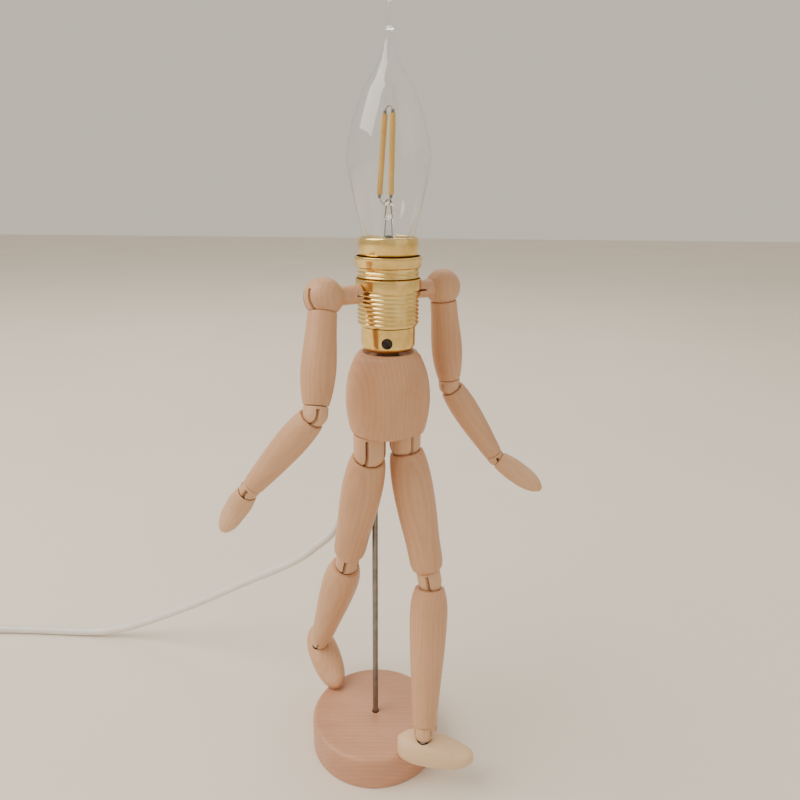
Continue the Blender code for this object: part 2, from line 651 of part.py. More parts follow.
def add_pelvis():
    """Barrel-shaped pelvis: dished top, belly flat, rod hole, nipple hole and the cord's way out."""
    height = PELVIS_HEIGHT
    edge = 0.0008
    stations = [(0, PELVIS_FOOT), (.22, .0189), (.45, PELVIS_BELLY), (.7, .0182), (.9, .0155), (1, PELVIS_TOP)]
    side = [(radius, share * height) for share, radius in smooth_outline(stations, 9)]
    profile = [(0, 0), (PELVIS_FOOT - edge, 0), (PELVIS_FOOT, edge)] + side[1:-1]
    profile += [(PELVIS_TOP, height - edge), (PELVIS_TOP - edge, height)]
    dish = height - DISH_DEPTH
    profile += [(DISH_RADIUS, height), (DISH_RADIUS - DISH_DEPTH, dish), (0, dish)]
    place = Matrix.Translation(on_axis(PELVIS_UNDER))
    pelvis = add_object("pelvis", revolve(profile, 26), "beech", place)
    front = frame_at(on_axis(PELVIS_UNDER), FIGURE_LEFT, Vector((0, 0, 1)))
    facet = box((-0.03, -0.03, -0.02), (0.03, -BELLY_FLAT, 0.06))
    cut(pelvis, add_object("pelvis_belly_flat", facet, None, front @ Matrix.Rotation(BELLY_LEAN, 4, "X")))
    hole = rod_shape(ROD_RADIUS + GAP, PELVIS_UNDER - 0.001, PELVIS_UNDER + ROD_GRIP + GAP, 10)
    cut(pelvis, add_object("pelvis_rod_hole", hole, None))
    seat = height - DISH_DEPTH - NIPPLE_DEPTH - GAP
    well = rod_shape(NIPPLE_RADIUS + GAP, seat, height + 0.001, 14)
    cut(pelvis, add_object("pelvis_nipple_hole", well, None, place))
    way = rod_shape(CORD_RADIUS + CORD_PLAY, 0, 0.03, 12)
    cut(pelvis, add_object("pelvis_cord_hole", way, None, turned_frame(on_axis(CORD_EXIT_HEIGHT), CORD_AIM)))


# ---------------------------------------------------------------- lampholder and bulb

def holder_matrix(rise=0.0):
    """Matrix at a height over the lampholder's underside."""
    return Matrix.Translation(on_axis(HOLDER_BASE + rise))


def add_holder_cap():
    """Domed brass cap with the nipple's hole in its floor."""
    wall = HOLDER_WALL
    radius = HOLDER_CAP_RADIUS
    dome = HOLDER_CAP_DOME
    hole = NIPPLE_RADIUS + GAP
    centre = (radius - dome, dome)
    profile = [(hole, 0), (radius - dome, 0)] + arc(centre, dome, -60, 0, 3)
    profile += [(radius, HOLDER_CAP_HEIGHT), (radius - wall, HOLDER_CAP_HEIGHT), (radius - wall, dome)]
    profile += arc(centre, dome - wall, -30, -90, 2) + [(hole, wall)]
    cap = add_object("lampholder_cap", ring_body(profile), "brass", holder_matrix())
    lock = rod_shape(LOCK_RADIUS + GAP, 0.007, 0.03, 12)
    cut(cap, add_object("lampholder_cap_lock_hole", lock, None, lock_frame()))


def lock_frame():
    """Frame of the cap's locking screw, which points out of the cap's front."""
    aim = Vector((-0.02, -1, 0)).normalized()
    return turned_frame(on_axis(HOLDER_BASE + LOCK_RISE), aim)


def add_lock_screw():
    """Grub screw that locks the cap to the skirt."""
    inner = HOLDER_CAP_RADIUS - HOLDER_WALL - 0.0004
    outer = HOLDER_CAP_RADIUS + 0.0006
    profile = [(0, inner), (LOCK_RADIUS, inner), (LOCK_RADIUS, outer - 0.0003),
               (LOCK_RADIUS - 0.0003, outer), (0, outer)]
    add_object("cap_lock_screw", revolve(profile, 12), "dark_steel", lock_frame())


def thread_profile(low, high, crest, root):
    """Saw-tooth of thread ridges between two heights, from low to high."""
    turns = max(1, round((high - low) / THREAD_PITCH))
    pitch = (high - low) / turns
    points = []
    for turn in range(turns):
        base = low + turn * pitch
        points += [(root, base + 0.18 * pitch), (crest, base + 0.5 * pitch), (root, base + 0.82 * pitch)]
    return points


def add_skirt():
    """Threaded brass outer skirt of the lampholder, with its smooth collar."""
    low = HOLDER_CAP_HEIGHT + GAP
    top = HOLDER_CAP_HEIGHT + SKIRT_HEIGHT
    collar = top - COLLAR_HEIGHT
    root = SKIRT_RADIUS - THREAD_DEPTH
    bore = root - HOLDER_WALL
    profile = [(bore, low), (root - 0.0002, low)]
    profile += thread_profile(low + 0.0006, collar - 0.0006, SKIRT_RADIUS, root)
    profile += [(COLLAR_RADIUS, collar), (COLLAR_RADIUS, top - 0.0012), (COLLAR_RADIUS - 0.0010, top)]
    profile += [(BULB_MOUTH + 0.0009, top), (bore, top - 0.003)]
    add_object("lampholder_skirt", ring_body(profile), "brass", holder_matrix())


def add_shade_ring(name, rise, height, radius):
    """Shade ring that screws on the skirt."""
    bore = SKIRT_RADIUS + GAP
    edge = min(0.0006, 0.4 * (radius - bore))
    profile = [(bore, 0), (radius - edge, 0), (radius, edge), (radius, height - edge),
               (radius - edge, height), (bore, height)]
    add_object(name, ring_body(profile), "brass", holder_matrix(rise))


def add_holder_insert():
    """Porcelain core that carries the contacts."""
    radius = SKIRT_RADIUS - THREAD_DEPTH - HOLDER_WALL - GAP
    low, floor, top = (HOLDER_CAP_HEIGHT + rise for rise in (INSERT_RISE, INSERT_FLOOR, INSERT_TOP))
    hole = CONTACT_RADIUS + 0.0007
    well = BULB_CAP_RADIUS + SHELL_PLAY + SHELL_WALL + GAP
    edge = 0.0006
    profile = [(hole, low), (radius, low), (radius, top - edge), (radius - edge, top), (well, top),
               (well, floor), (hole, floor)]
    add_object("lampholder_insert", ring_body(profile, 18), "porcelain", holder_matrix())


def add_screw_shell():
    """Inner brass shell that the bulb screws into, standing in the porcelain."""
    low = HOLDER_CAP_HEIGHT + INSERT_FLOOR + GAP
    top = HOLDER_CAP_HEIGHT + SHELL_TOP
    inner = BULB_CAP_RADIUS + SHELL_PLAY
    outer = inner + SHELL_WALL
    profile = [(inner, low), (outer, low), (outer, top - 0.0004), (outer + 0.0006, top), (inner, top)]
    add_object("screw_shell", ring_body(profile, 18), "brass", holder_matrix())


def add_centre_contact():
    """Sprung centre contact, riveted through the porcelain."""
    low = HOLDER_CAP_HEIGHT + INSERT_RISE - 0.0012
    step = HOLDER_CAP_HEIGHT + INSERT_FLOOR + GAP
    crown = step + CONTACT_SPRING
    profile = [(0, low), (CONTACT_RADIUS, low), (CONTACT_RADIUS, step), (0.0032, step), (0.0032, step + 0.0006),
               (0.0014, crown), (0, crown)]
    add_object("centre_contact", revolve(profile, 10), "brass", holder_matrix())


def add_nipple():
    """Threaded tube that joins the cap to the pelvis and lets the wires through."""
    low = -HOLDER_RISE - DISH_DEPTH - NIPPLE_DEPTH
    profile = [(NIPPLE_BORE, low), (NIPPLE_RADIUS, low), (NIPPLE_RADIUS, NIPPLE_TOP), (NIPPLE_BORE, NIPPLE_TOP)]
    add_object("nipple", ring_body(profile, 14), "steel", holder_matrix())


def rim_matrix():
    """Matrix at the lampholder's rim."""
    return Matrix.Translation(on_axis(HOLDER_RIM))


def bulb_outline():
    """Glass from its lower end to its tip, as (height over the rim, radius)."""
    stations = [(0, BULB_MOUTH), (.10, .0122), (.22, .0150), (.375, BULB_RADIUS), (.46, .0167), (.54, .0149),
                (.62, .0123), (.67, .0103), (.72, .0073), (.77, .0047), (.83, .0028), (.91, .0019), (1, .0012)]
    span = BULB_TIP - BULB_SEAT
    return [(BULB_SEAT + share * span, radius) for share, radius in smooth_outline(stations, 22)]


def add_bulb_glass():
    """Flame-shaped glass envelope, hollow inside."""
    outer = bulb_outline()
    inner = [(radius - BULB_WALL, height) for height, radius in outer[:-4]]
    crown = inner[-1][1] + BULB_WALL
    profile = [(0, BULB_TIP + 0.0006)] + [(radius, height) for height, radius in reversed(outer)]
    add_object("bulb_glass", revolve(profile + inner + [(0, crown)], 18), "glass", rim_matrix())


def add_bulb_cap():
    """Screw cap of the bulb, with its insulator and end contact."""
    top = BULB_SEAT - 0.0008
    low = INSERT_FLOOR + CONTACT_SPRING + 2 * GAP - SKIRT_HEIGHT
    radius = BULB_CAP_RADIUS
    profile = [(0, low), (0.0024, low), (0.0030, low + 0.0010), (radius - 0.0016, low + 0.0032)]
    profile += thread_profile(low + 0.0040, low + 0.0190, radius, radius - 0.0006)
    profile += [(radius - 0.0004, low + 0.0205), (BULB_MOUTH - 0.0022, top), (0, top)]
    add_object("bulb_cap", revolve(profile, 16), "brass", rim_matrix())


def add_bulb_stem():
    """Glass stem inside the bulb that carries the filaments."""
    low = BULB_SEAT - 0.0005
    profile = [(0, low), (0.0058, low), (0.0034, 0.0), (0.0027, 0.006), (0.0016, 0.010), (0.0024, 0.0125),
               (0.0012, 0.0150), (0, 0.0155)]
    add_object("bulb_stem", revolve(profile, 10), "glass", rim_matrix())


def add_filaments():
    """Two light sticks that lean together over the stem."""
    for name, shift, lean in (("filament_front", 0.0007, 1.0), ("filament_back", -0.0051, 4.0)):
        shape = rod_shape(FILAMENT_RADIUS, FILAMENT_RISE, FILAMENT_RISE + FILAMENT_LENGTH, 8)
        place = rim_matrix() @ Matrix.Translation((shift, -0.6 * shift, 0))
        add_object(name, shape, "filament", place @ Matrix.Rotation(math.radians(lean), 4, "Y"))


def add_shoulder_spring():
    """Tension spring that hooks both arm tenons together round the back of the lampholder."""
    wire = SPRING_RADIUS
    path = SKIRT_RADIUS + GAP + wire + 0.0004
    clear = math.degrees(math.asin((TENON_RADIUS + wire + GAP) / path)) + 2
    height = SHOULDER_HEIGHT - SPRING_DROP
    bm = bmesh.new()
    loop = [bm.verts.new((path + wire * math.cos(a), 0, wire * math.sin(a)))
            for a in (2 * math.pi * k / 6 for k in range(6))]
    face = bm.faces.new(loop)
    sweep = math.radians(180 - 2 * clear)
    bmesh.ops.spin(bm, geom=[face] + list(face.edges), cent=(0, 0, 0), axis=(0, 0, 1), angle=sweep, steps=14)
    front = frame_at(on_axis(height), FIGURE_LEFT, Vector((0, 0, 1)))
    matrix = front @ Matrix.Rotation(math.radians(clear), 4, "Z")
    add_object("shoulder_spring", bm, "steel", matrix)


# ---------------------------------------------------------------- cord and plug

# Middle line of the free cord after its gland, down to the coil, in metres
CORD_ROUTE = [
    (-0.0006, 0.0405, 0.2096), (-0.0024, 0.0468, 0.2035), (-0.0045, 0.0507, 0.1945), (-0.0068, 0.0524, 0.1830),
    (-0.0096, 0.0527, 0.1680), (-0.0128, 0.0523, 0.1500), (-0.0170, 0.0515, 0.1320), (-0.0215, 0.0509, 0.1160),
    (-0.0278, 0.0515, 0.1018),
    (-0.0371, 0.0540, 0.0917), (-0.0490, 0.0575, 0.0804), (-0.0659, 0.0620, 0.0689), (-0.0833, 0.0665, 0.0585),
    (-0.1014, 0.0710, 0.0471), (-0.1203, 0.0760, 0.0351), (-0.1393, 0.0800, 0.0246), (-0.1582, 0.0828, 0.0152),
    (-0.1768, 0.0845, 0.0078), (-0.1960, 0.0858, 0.0036), (-0.2180, 0.0870, 0.0027), (-0.2430, 0.0882, 0.0027),
    (-0.2640, 0.0886, 0.0027), (-0.2847, 0.0886, 0.0027),
]
CORD_POINTS = 38


def smooth_points(route, count):
    """Evenly spread points of a smooth curve through the route."""
    route = [Vector(point) for point in route]
    dense = []
    for i in range(len(route) - 1):
        before = route[max(i - 1, 0)]
        after = route[min(i + 2, len(route) - 1)]
        low, high = route[i], route[i + 1]
        for k in range(12):
            t = k / 12
            square = 2 * before - 5 * low + 4 * high - after
            cube = 3 * low - before - 3 * high + after
            dense.append(0.5 * (2 * low + (high - before) * t + square * t ** 2 + cube * t ** 3))
    dense.append(route[-1])
    lengths = [0.0]
    for a, b in zip(dense, dense[1:]):
        lengths.append(lengths[-1] + (b - a).length)
    points = []
    k = 0
    for n in range(count):
        target = lengths[-1] * n / (count - 1)
        while k < len(dense) - 2 and lengths[k + 1] < target:
            k += 1
        share = (target - lengths[k]) / (lengths[k + 1] - lengths[k])
        points.append(dense[k].lerp(dense[k + 1], min(1.0, share)))
    return points


def add_cord():
    """Free cord from the gland to the coil."""
    way_out = [on_axis(CORD_EXIT_HEIGHT) + CORD_AIM * (GLAND_END + reach) for reach in (GAP, 0.005, 0.010)]
    curve = bpy.data.curves.new("cord", "CURVE")
    curve.dimensions = "3D"
    curve.bevel_depth = CORD_RADIUS
    curve.bevel_resolution = 2
    curve.use_fill_caps = True
    spline = curve.splines.new("POLY")
    points = smooth_points(way_out + CORD_ROUTE, CORD_POINTS)
    spline.points.add(len(points) - 1)
    for target, point in zip(spline.points, points):
        target.co = (*point, 1)
    curve.materials.append(material("white_plastic"))
    bpy.context.collection.objects.link(bpy.data.objects.new("cord", curve))


def add_gland():
    """Tapered strain relief in the pelvis's back."""
    body = CORD_RADIUS + CORD_PLAY - GAP
    collar = [(0.0043, GLAND_COLLAR), (0.0043, GLAND_COLLAR + 0.0016), (0.0036, GLAND_COLLAR + 0.0022)]
    profile = [(0, GLAND_START), (body, GLAND_START), (body, GLAND_COLLAR - 0.0002)] + collar
    profile += [(0.0029, GLAND_END), (0, GLAND_END)]
    frame = turned_frame(on_axis(CORD_EXIT_HEIGHT), CORD_AIM)
    add_object("cord_gland", revolve(profile, 12), "white_plastic", frame)


def add_coil():
    """Outer shape of the cord's coil, lying on the table."""
    edge = 0.0022
    top = COIL_HEIGHT
    low, high = COIL_TURN_RADIUS - COIL_HALF_WIDTH, COIL_TURN_RADIUS + COIL_HALF_WIDTH
    profile = [(low + edge, 0), (high - edge, 0), (high, edge), (high, top - edge), (high - edge, top),
               (low + edge, top), (low, top - edge), (low, edge)]
    add_object("cord_coil", ring_body(profile, 26), "white_plastic", Matrix.Translation((*COIL_CENTRE, 0)))


def add_plug():
    """Flat two-pin plug lying beside the coil, with its tapered tail towards the coil."""
    outer = COIL_TURN_RADIUS + COIL_HALF_WIDTH
    lane = COIL_TURN_RADIUS + COIL_LANE
    start = math.sqrt(outer ** 2 - (lane - PLUG_TAIL_RADIUS) ** 2) + 2 * GAP
    place = Vector((COIL_CENTRE[0] - lane, COIL_CENTRE[1] - start, PLUG_DEPTH / 2))
    matrix = frame_at(place, Vector((1, 0, 0)), Vector((0, 0, 1)))
    sections = [(0, PLUG_TAIL_RADIUS, .0030), (PLUG_TAIL * 0.5, .0036, .0034), (PLUG_TAIL, .0048, .0045),
                (PLUG_TAIL + 0.004, .0085, .0060), (PLUG_TAIL + 0.011, .0140, PLUG_DEPTH / 2),
                (PLUG_TAIL + PLUG_BODY * 0.75, PLUG_WIDTH / 2, PLUG_DEPTH / 2),
                (PLUG_TAIL + PLUG_BODY - 0.001, PLUG_WIDTH / 2, PLUG_DEPTH / 2),
                (PLUG_TAIL + PLUG_BODY, PLUG_WIDTH / 2 - 0.001, PLUG_DEPTH / 2 - 0.001)]
    bm = bmesh.new()
    rings = []
    for y, wide, deep in sections:
        ring = []
        for k in range(PLUG_SIDES):
            angle = 2 * math.pi * (k + 0.5) / PLUG_SIDES
            x = wide * math.copysign(abs(math.cos(angle)) ** 0.6, math.cos(angle))
            z = deep * math.copysign(abs(math.sin(angle)) ** 0.6, math.sin(angle))
            ring.append(bm.verts.new((x, -y, z)))
        rings.append(ring)
    skin_rings(bm, rings)
    plug = add_object("plug", bm, "white_plastic", matrix)
    lay = Matrix.Rotation(math.pi / 2, 4, "X")
    for tag, x in (("a", -PIN_SPACING / 2), ("b", PIN_SPACING / 2)):
        pin = rod_shape(PIN_RADIUS, PLUG_TAIL + PLUG_BODY - 0.002, PLUG_TAIL + PLUG_BODY + PIN_LENGTH, 8)
        place = matrix @ Matrix.Translation((x, 0, 0)) @ lay
        cut(plug, add_object(f"plug_pin_{tag}", pin, None, place), "UNION")


def main():
    """Clear the scene and build every piece."""
    for obj in list(bpy.data.objects):
        bpy.data.objects.remove(obj, do_unlink=True)
    add_base()
    add_rod()
    add_pelvis()
    for side in ("right", "left"):
        add_leg(side)
        add_arm(side)
    add_holder_cap()
    add_lock_screw()
    add_skirt()
    add_shade_ring("shade_ring_lower", LOWER_RING_RISE, LOWER_RING_HEIGHT, LOWER_RING_RADIUS)
    add_shade_ring("shade_ring_upper", UPPER_RING_RISE, UPPER_RING_HEIGHT, UPPER_RING_RADIUS)
    add_holder_insert()
    add_screw_shell()
    add_centre_contact()
    add_nipple()
    add_bulb_glass()
    add_bulb_cap()
    add_bulb_stem()
    add_filaments()
    add_shoulder_spring()
    add_gland()
    add_cord()
    add_coil()
    add_plug()


main()
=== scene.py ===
"""Visual model of a jointed artist's mannequin that serves as a small table lamp.

Metres, +Z up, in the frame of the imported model. Turned wooden limbs hang on sawn knuckles, a threaded
brass lampholder stands in for the chest and a flame-tip bulb for the head.
"""
from __future__ import annotations

import json
import logging
import math
from dataclasses import dataclass
from enum import Enum
from typing import Callable, Sequence

import bpy
from mathutils import Matrix, Vector


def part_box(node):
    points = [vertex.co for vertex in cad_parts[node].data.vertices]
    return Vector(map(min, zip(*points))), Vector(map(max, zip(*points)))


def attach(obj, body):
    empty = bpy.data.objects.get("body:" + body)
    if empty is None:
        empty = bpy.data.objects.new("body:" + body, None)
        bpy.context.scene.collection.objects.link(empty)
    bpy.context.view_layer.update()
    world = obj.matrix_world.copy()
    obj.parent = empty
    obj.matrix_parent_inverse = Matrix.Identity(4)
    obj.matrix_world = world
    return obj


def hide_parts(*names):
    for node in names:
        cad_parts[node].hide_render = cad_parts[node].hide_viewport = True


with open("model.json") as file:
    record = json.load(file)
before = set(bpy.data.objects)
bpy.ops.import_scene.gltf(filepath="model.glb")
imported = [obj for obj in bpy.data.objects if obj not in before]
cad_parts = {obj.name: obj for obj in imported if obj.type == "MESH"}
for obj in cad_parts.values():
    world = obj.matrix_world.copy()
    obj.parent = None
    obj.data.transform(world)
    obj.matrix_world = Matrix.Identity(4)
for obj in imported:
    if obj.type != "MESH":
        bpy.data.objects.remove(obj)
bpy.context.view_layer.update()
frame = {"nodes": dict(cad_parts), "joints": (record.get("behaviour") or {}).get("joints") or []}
JOINTS = {joint["name"]: joint for joint in frame["joints"]}
LOG = logging.getLogger("mannequin_lamp")

Point = tuple[float, float]
GAP = 0.0003
FIGURE_X = 0.0065
FIGURE_Y = -0.012
ROOT = "stand_and_lampholder"


# ------------------------------------------------------------------ finishes

class Finish(Enum):
    """Finishes that a piece can have."""

    LIMB = "limb_beech"
    BASE = "base_beech"
    BRASS = "brass"
    STEEL = "steel"
    BLACK_STEEL = "black_steel"
    PORCELAIN = "porcelain"
    GLASS = "glass"
    PHOSPHOR = "phosphor"
    CORD = "cord_plastic"


@dataclass(frozen=True)
class WoodFinish:
    """Turned wood whose grain runs along the piece's own Z."""

    name: str
    pale: tuple[float, float, float]
    dark: tuple[float, float, float]
    fleck: tuple[float, float, float]
    roughness: float = 0.46

    def make(self) -> bpy.types.Material:
        """Build the material.

        Returns:
            The wood, patterned by the piece's "grain" and "tone" attributes.
        """
        nodes = NodeTree(self.name)
        grain = nodes.add("ShaderNodeAttribute", attribute_name="grain").outputs["Vector"]
        tone = nodes.add("ShaderNodeAttribute", attribute_name="tone").outputs["Fac"]
        streaks = nodes.noise(nodes.mapped(grain, (420, 420, 16)), 1.0, 4.0, 0.55)
        fibres = nodes.noise(nodes.mapped(grain, (2600, 2600, 90)), 1.0, 3.0, 0.6)
        clouds = nodes.noise(nodes.mapped(grain, (75, 75, 30)), 1.0, 2.0, 0.5)
        rings = nodes.add("ShaderNodeTexWave", wave_type="RINGS", rings_direction="Z")
        nodes.link(nodes.mapped(grain, (170, 170, 9), (0.9, 0.35, 0)), rings.inputs["Vector"])
        for socket, value in (("Scale", 1.0), ("Distortion", 3.2), ("Detail", 3.0), ("Detail Scale", 1.6)):
            rings.inputs[socket].default_value = value
        figure = nodes.blend(rings.outputs["Fac"], streaks, 0.72)
        figure = nodes.blend(figure, clouds, 0.45)
        body = nodes.colours(figure, ((0.22, self.dark), (0.70, self.pale)))
        flecks = nodes.add("ShaderNodeTexVoronoi", voronoi_dimensions="3D", feature="F1")
        nodes.link(nodes.mapped(grain, (1500, 1500, 210)), flecks.inputs["Vector"])
        flecks.inputs["Scale"].default_value = 1.0
        marks = nodes.ramp(flecks.outputs["Distance"], ((0.10, 1.0), (0.26, 0.0)))
        marks = nodes.maths("MULTIPLY", marks, nodes.ramp(streaks, ((0.42, 0.05), (0.62, 0.40))))
        body = nodes.mix_colour(body, self.fleck, marks)
        warm = nodes.mix_colour(body, (0.86, 0.66, 0.42), nodes.maths("MULTIPLY", tone, 0.85))
        shade = nodes.ramp(fibres, ((0.25, 0.93), (0.75, 1.04)))
        nodes.shader("Base Color", nodes.tint(warm, shade))
        ends = ((0.2, self.roughness - 0.07), (0.8, self.roughness + 0.10))
        nodes.shader("Roughness", nodes.ramp(fibres, ends))
        nodes.set("Specular IOR Level", 0.42)
        nodes.set("Coat Weight", 0.12)
        nodes.set("Coat Roughness", 0.30)
        nodes.bump(nodes.blend(fibres, marks, 0.4), 0.30, 0.00012)
        return nodes.material


@dataclass(frozen=True)
class MetalFinish:
    """Metal with faint tarnish and fine scratches."""

    name: str
    bright: tuple[float, float, float]
    dull: tuple[float, float, float]
    roughness: float
    scratch_scale: tuple[float, float, float] = (900, 900, 5000)
    bump: float = 0.08

    def make(self) -> bpy.types.Material:
        """Build the material.

        Returns:
            The metal, patterned in the object's own coordinates.
        """
        nodes = NodeTree(self.name)
        place = nodes.add("ShaderNodeTexCoord").outputs["Object"]
        tarnish = nodes.noise(nodes.mapped(place, (160, 160, 160)), 1.0, 4.0, 0.6)
        scratches = nodes.noise(nodes.mapped(place, self.scratch_scale), 1.0, 2.0, 0.6)
        nodes.shader("Base Color", nodes.colours(tarnish, ((0.35, self.dull), (0.62, self.bright))))
        worn = nodes.blend(tarnish, scratches, 0.5)
        nodes.shader("Roughness", nodes.ramp(worn, ((0.3, self.roughness + 0.12), (0.7, self.roughness - 0.04))))
        nodes.set("Metallic", 1.0)
        nodes.bump(scratches, self.bump, 0.00004)
        return nodes.material


@dataclass(frozen=True)
class PlainFinish:
    """Moulded or fired surface with slight mottling."""

    name: str
    pale: tuple[float, float, float]
    dark: tuple[float, float, float]
    roughness: float
    scale: float = 700.0
    bump: float = 0.10
    coat: float = 0.0

    def make(self) -> bpy.types.Material:
        """Build the material.

        Returns:
            The surface, patterned in the object's own coordinates.
        """
        nodes = NodeTree(self.name)
        place = nodes.add("ShaderNodeTexCoord").outputs["Object"]
        mottle = nodes.noise(nodes.mapped(place, (90, 90, 90)), 1.0, 3.0, 0.5)
        grain = nodes.noise(nodes.mapped(place, (self.scale, self.scale, self.scale)), 1.0, 3.0, 0.6)
        nodes.shader("Base Color", nodes.colours(mottle, ((0.3, self.dark), (0.7, self.pale))))
        nodes.shader("Roughness", nodes.ramp(grain, ((0.3, self.roughness - 0.05), (0.7, self.roughness + 0.06))))
        nodes.set("Coat Weight", self.coat)
        nodes.bump(grain, self.bump, 0.00006)
        return nodes.material


@dataclass(frozen=True)
class GlassFinish:
    """Clear blown glass with a trace of dust."""

    name: str
    tint: tuple[float, float, float] = (0.985, 0.99, 0.985)

    def make(self) -> bpy.types.Material:
        """Build the material.

        Returns:
            The glass, with roughness patterned in the object's own coordinates.
        """
        nodes = NodeTree(self.name)
        place = nodes.add("ShaderNodeTexCoord").outputs["Object"]
        dust = nodes.noise(nodes.mapped(place, (240, 240, 240)), 1.0, 4.0, 0.6)
        nodes.shader("Roughness", nodes.ramp(dust, ((0.45, 0.0), (0.85, 0.035))))
        nodes.set("Base Color", (*self.tint, 1.0))
        nodes.set("Transmission Weight", 1.0)
        nodes.set("IOR", 1.45)
        return nodes.material


class NodeTree:
    """Small helper that adds and links shader nodes of one material."""

    def __init__(self, name: str) -> None:
        """Start a material.

        Args:
            name: The material's name.
        """
        self.material = bpy.data.materials.new(name)
        self.material.use_nodes = True
        self.tree = self.material.node_tree
        self.principled = self.tree.nodes["Principled BSDF"]

    def add(self, kind: str, **settings: object) -> bpy.types.Node:
        """Add a node with its settings."""
        node = self.tree.nodes.new(kind)
        for key, value in settings.items():
            setattr(node, key, value)
        return node

    def link(self, source: bpy.types.NodeSocket, target: bpy.types.NodeSocket) -> None:
        """Link two sockets."""
        self.tree.links.new(source, target)

    def put(self, value: object, target: bpy.types.NodeSocket) -> None:
        """Link a socket, or set a plain value, on a target."""
        if isinstance(value, bpy.types.NodeSocket):
            self.link(value, target)
        elif isinstance(value, tuple) and len(value) == 3 and target.type == "RGBA":
            target.default_value = (*value, 1.0)
        else:
            target.default_value = value

    def set(self, socket: str, value: object) -> None:
        """Set a constant on the shader's own socket."""
        self.principled.inputs[socket].default_value = value

    def shader(self, socket: str, source: bpy.types.NodeSocket) -> None:
        """Link a pattern to the shader."""
        self.link(source, self.principled.inputs[socket])

    def mapped(self, vector: bpy.types.NodeSocket, scale: Sequence[float],
               turn: Sequence[float] = (0, 0, 0)) -> bpy.types.NodeSocket:
        """Scale and turn a coordinate.

        Args:
            vector: The coordinate, in metres.
            scale: Cells per metre along X, Y and Z.
            turn: Offsets, in pattern units, along X, Y and Z.

        Returns:
            The scaled coordinate.
        """
        node = self.add("ShaderNodeMapping")
        self.link(vector, node.inputs["Vector"])
        node.inputs["Scale"].default_value = scale
        node.inputs["Location"].default_value = turn
        return node.outputs["Vector"]

    def noise(self, vector: bpy.types.NodeSocket, scale: float, detail: float,
              rough: float) -> bpy.types.NodeSocket:
        """Fractal noise at a coordinate."""
        node = self.add("ShaderNodeTexNoise")
        self.link(vector, node.inputs["Vector"])
        for socket, value in (("Scale", scale), ("Detail", detail), ("Roughness", rough)):
            node.inputs[socket].default_value = value
        return node.outputs["Fac"]

    def ramp(self, source: bpy.types.NodeSocket, ends: Sequence[Point]) -> bpy.types.NodeSocket:
        """Map a value from one range to another, clamped.

        Args:
            source: The value.
            ends: Two (from, to) pairs.

        Returns:
            The mapped value.
        """
        node = self.add("ShaderNodeMapRange", clamp=True)
        self.link(source, node.inputs["Value"])
        (low, new_low), (high, new_high) = ends
        for socket, value in (("From Min", low), ("From Max", high), ("To Min", new_low), ("To Max", new_high)):
            node.inputs[socket].default_value = value
        return node.outputs["Result"]

    def colours(self, source: bpy.types.NodeSocket, stops: Sequence[tuple]) -> bpy.types.NodeSocket:
        """Colour ramp with two stops."""
        node = self.add("ShaderNodeValToRGB")
        self.link(source, node.inputs["Fac"])
        for element, (place, colour) in zip(node.color_ramp.elements, stops):
            element.position = place
            element.color = (*colour, 1.0)
        return node.outputs["Color"]

    def maths(self, operation: str, a: object, b: object) -> bpy.types.NodeSocket:
        """Combine two values."""
        node = self.add("ShaderNodeMath", operation=operation)
        self.put(a, node.inputs[0])
        self.put(b, node.inputs[1])
        return node.outputs["Value"]

    def blend(self, a: bpy.types.NodeSocket, b: bpy.types.NodeSocket, share: float) -> bpy.types.NodeSocket:
        """Mix two values by a share of the second."""
        node = self.add("ShaderNodeMix", data_type="FLOAT")
        node.inputs["Factor"].default_value = share
        self.link(a, node.inputs["A"])
        self.link(b, node.inputs["B"])
        return node.outputs["Result"]

    def mix_colour(self, a: object, b: object, factor: bpy.types.NodeSocket) -> bpy.types.NodeSocket:
        """Mix two colours by a pattern."""
        node = self.add("ShaderNodeMix", data_type="RGBA")
        self.link(factor, node.inputs[0])
        self.put(a, node.inputs[6])
        self.put(b, node.inputs[7])
        return node.outputs[2]

    def tint(self, colour: bpy.types.NodeSocket, amount: bpy.types.NodeSocket) -> bpy.types.NodeSocket:
        """Multiply a colour by a value."""
        node = self.add("ShaderNodeVectorMath", operation="SCALE")
        self.link(colour, node.inputs[0])
        self.link(amount, node.inputs["Scale"])
        return node.outputs["Vector"]

    def bump(self, height: bpy.types.NodeSocket, strength: float, distance: float) -> None:
        """Bump the surface by a pattern."""
        node = self.add("ShaderNodeBump")
        self.link(height, node.inputs["Height"])
        node.inputs["Strength"].default_value = strength
        node.inputs["Distance"].default_value = distance
        self.shader("Normal", node.outputs["Normal"])


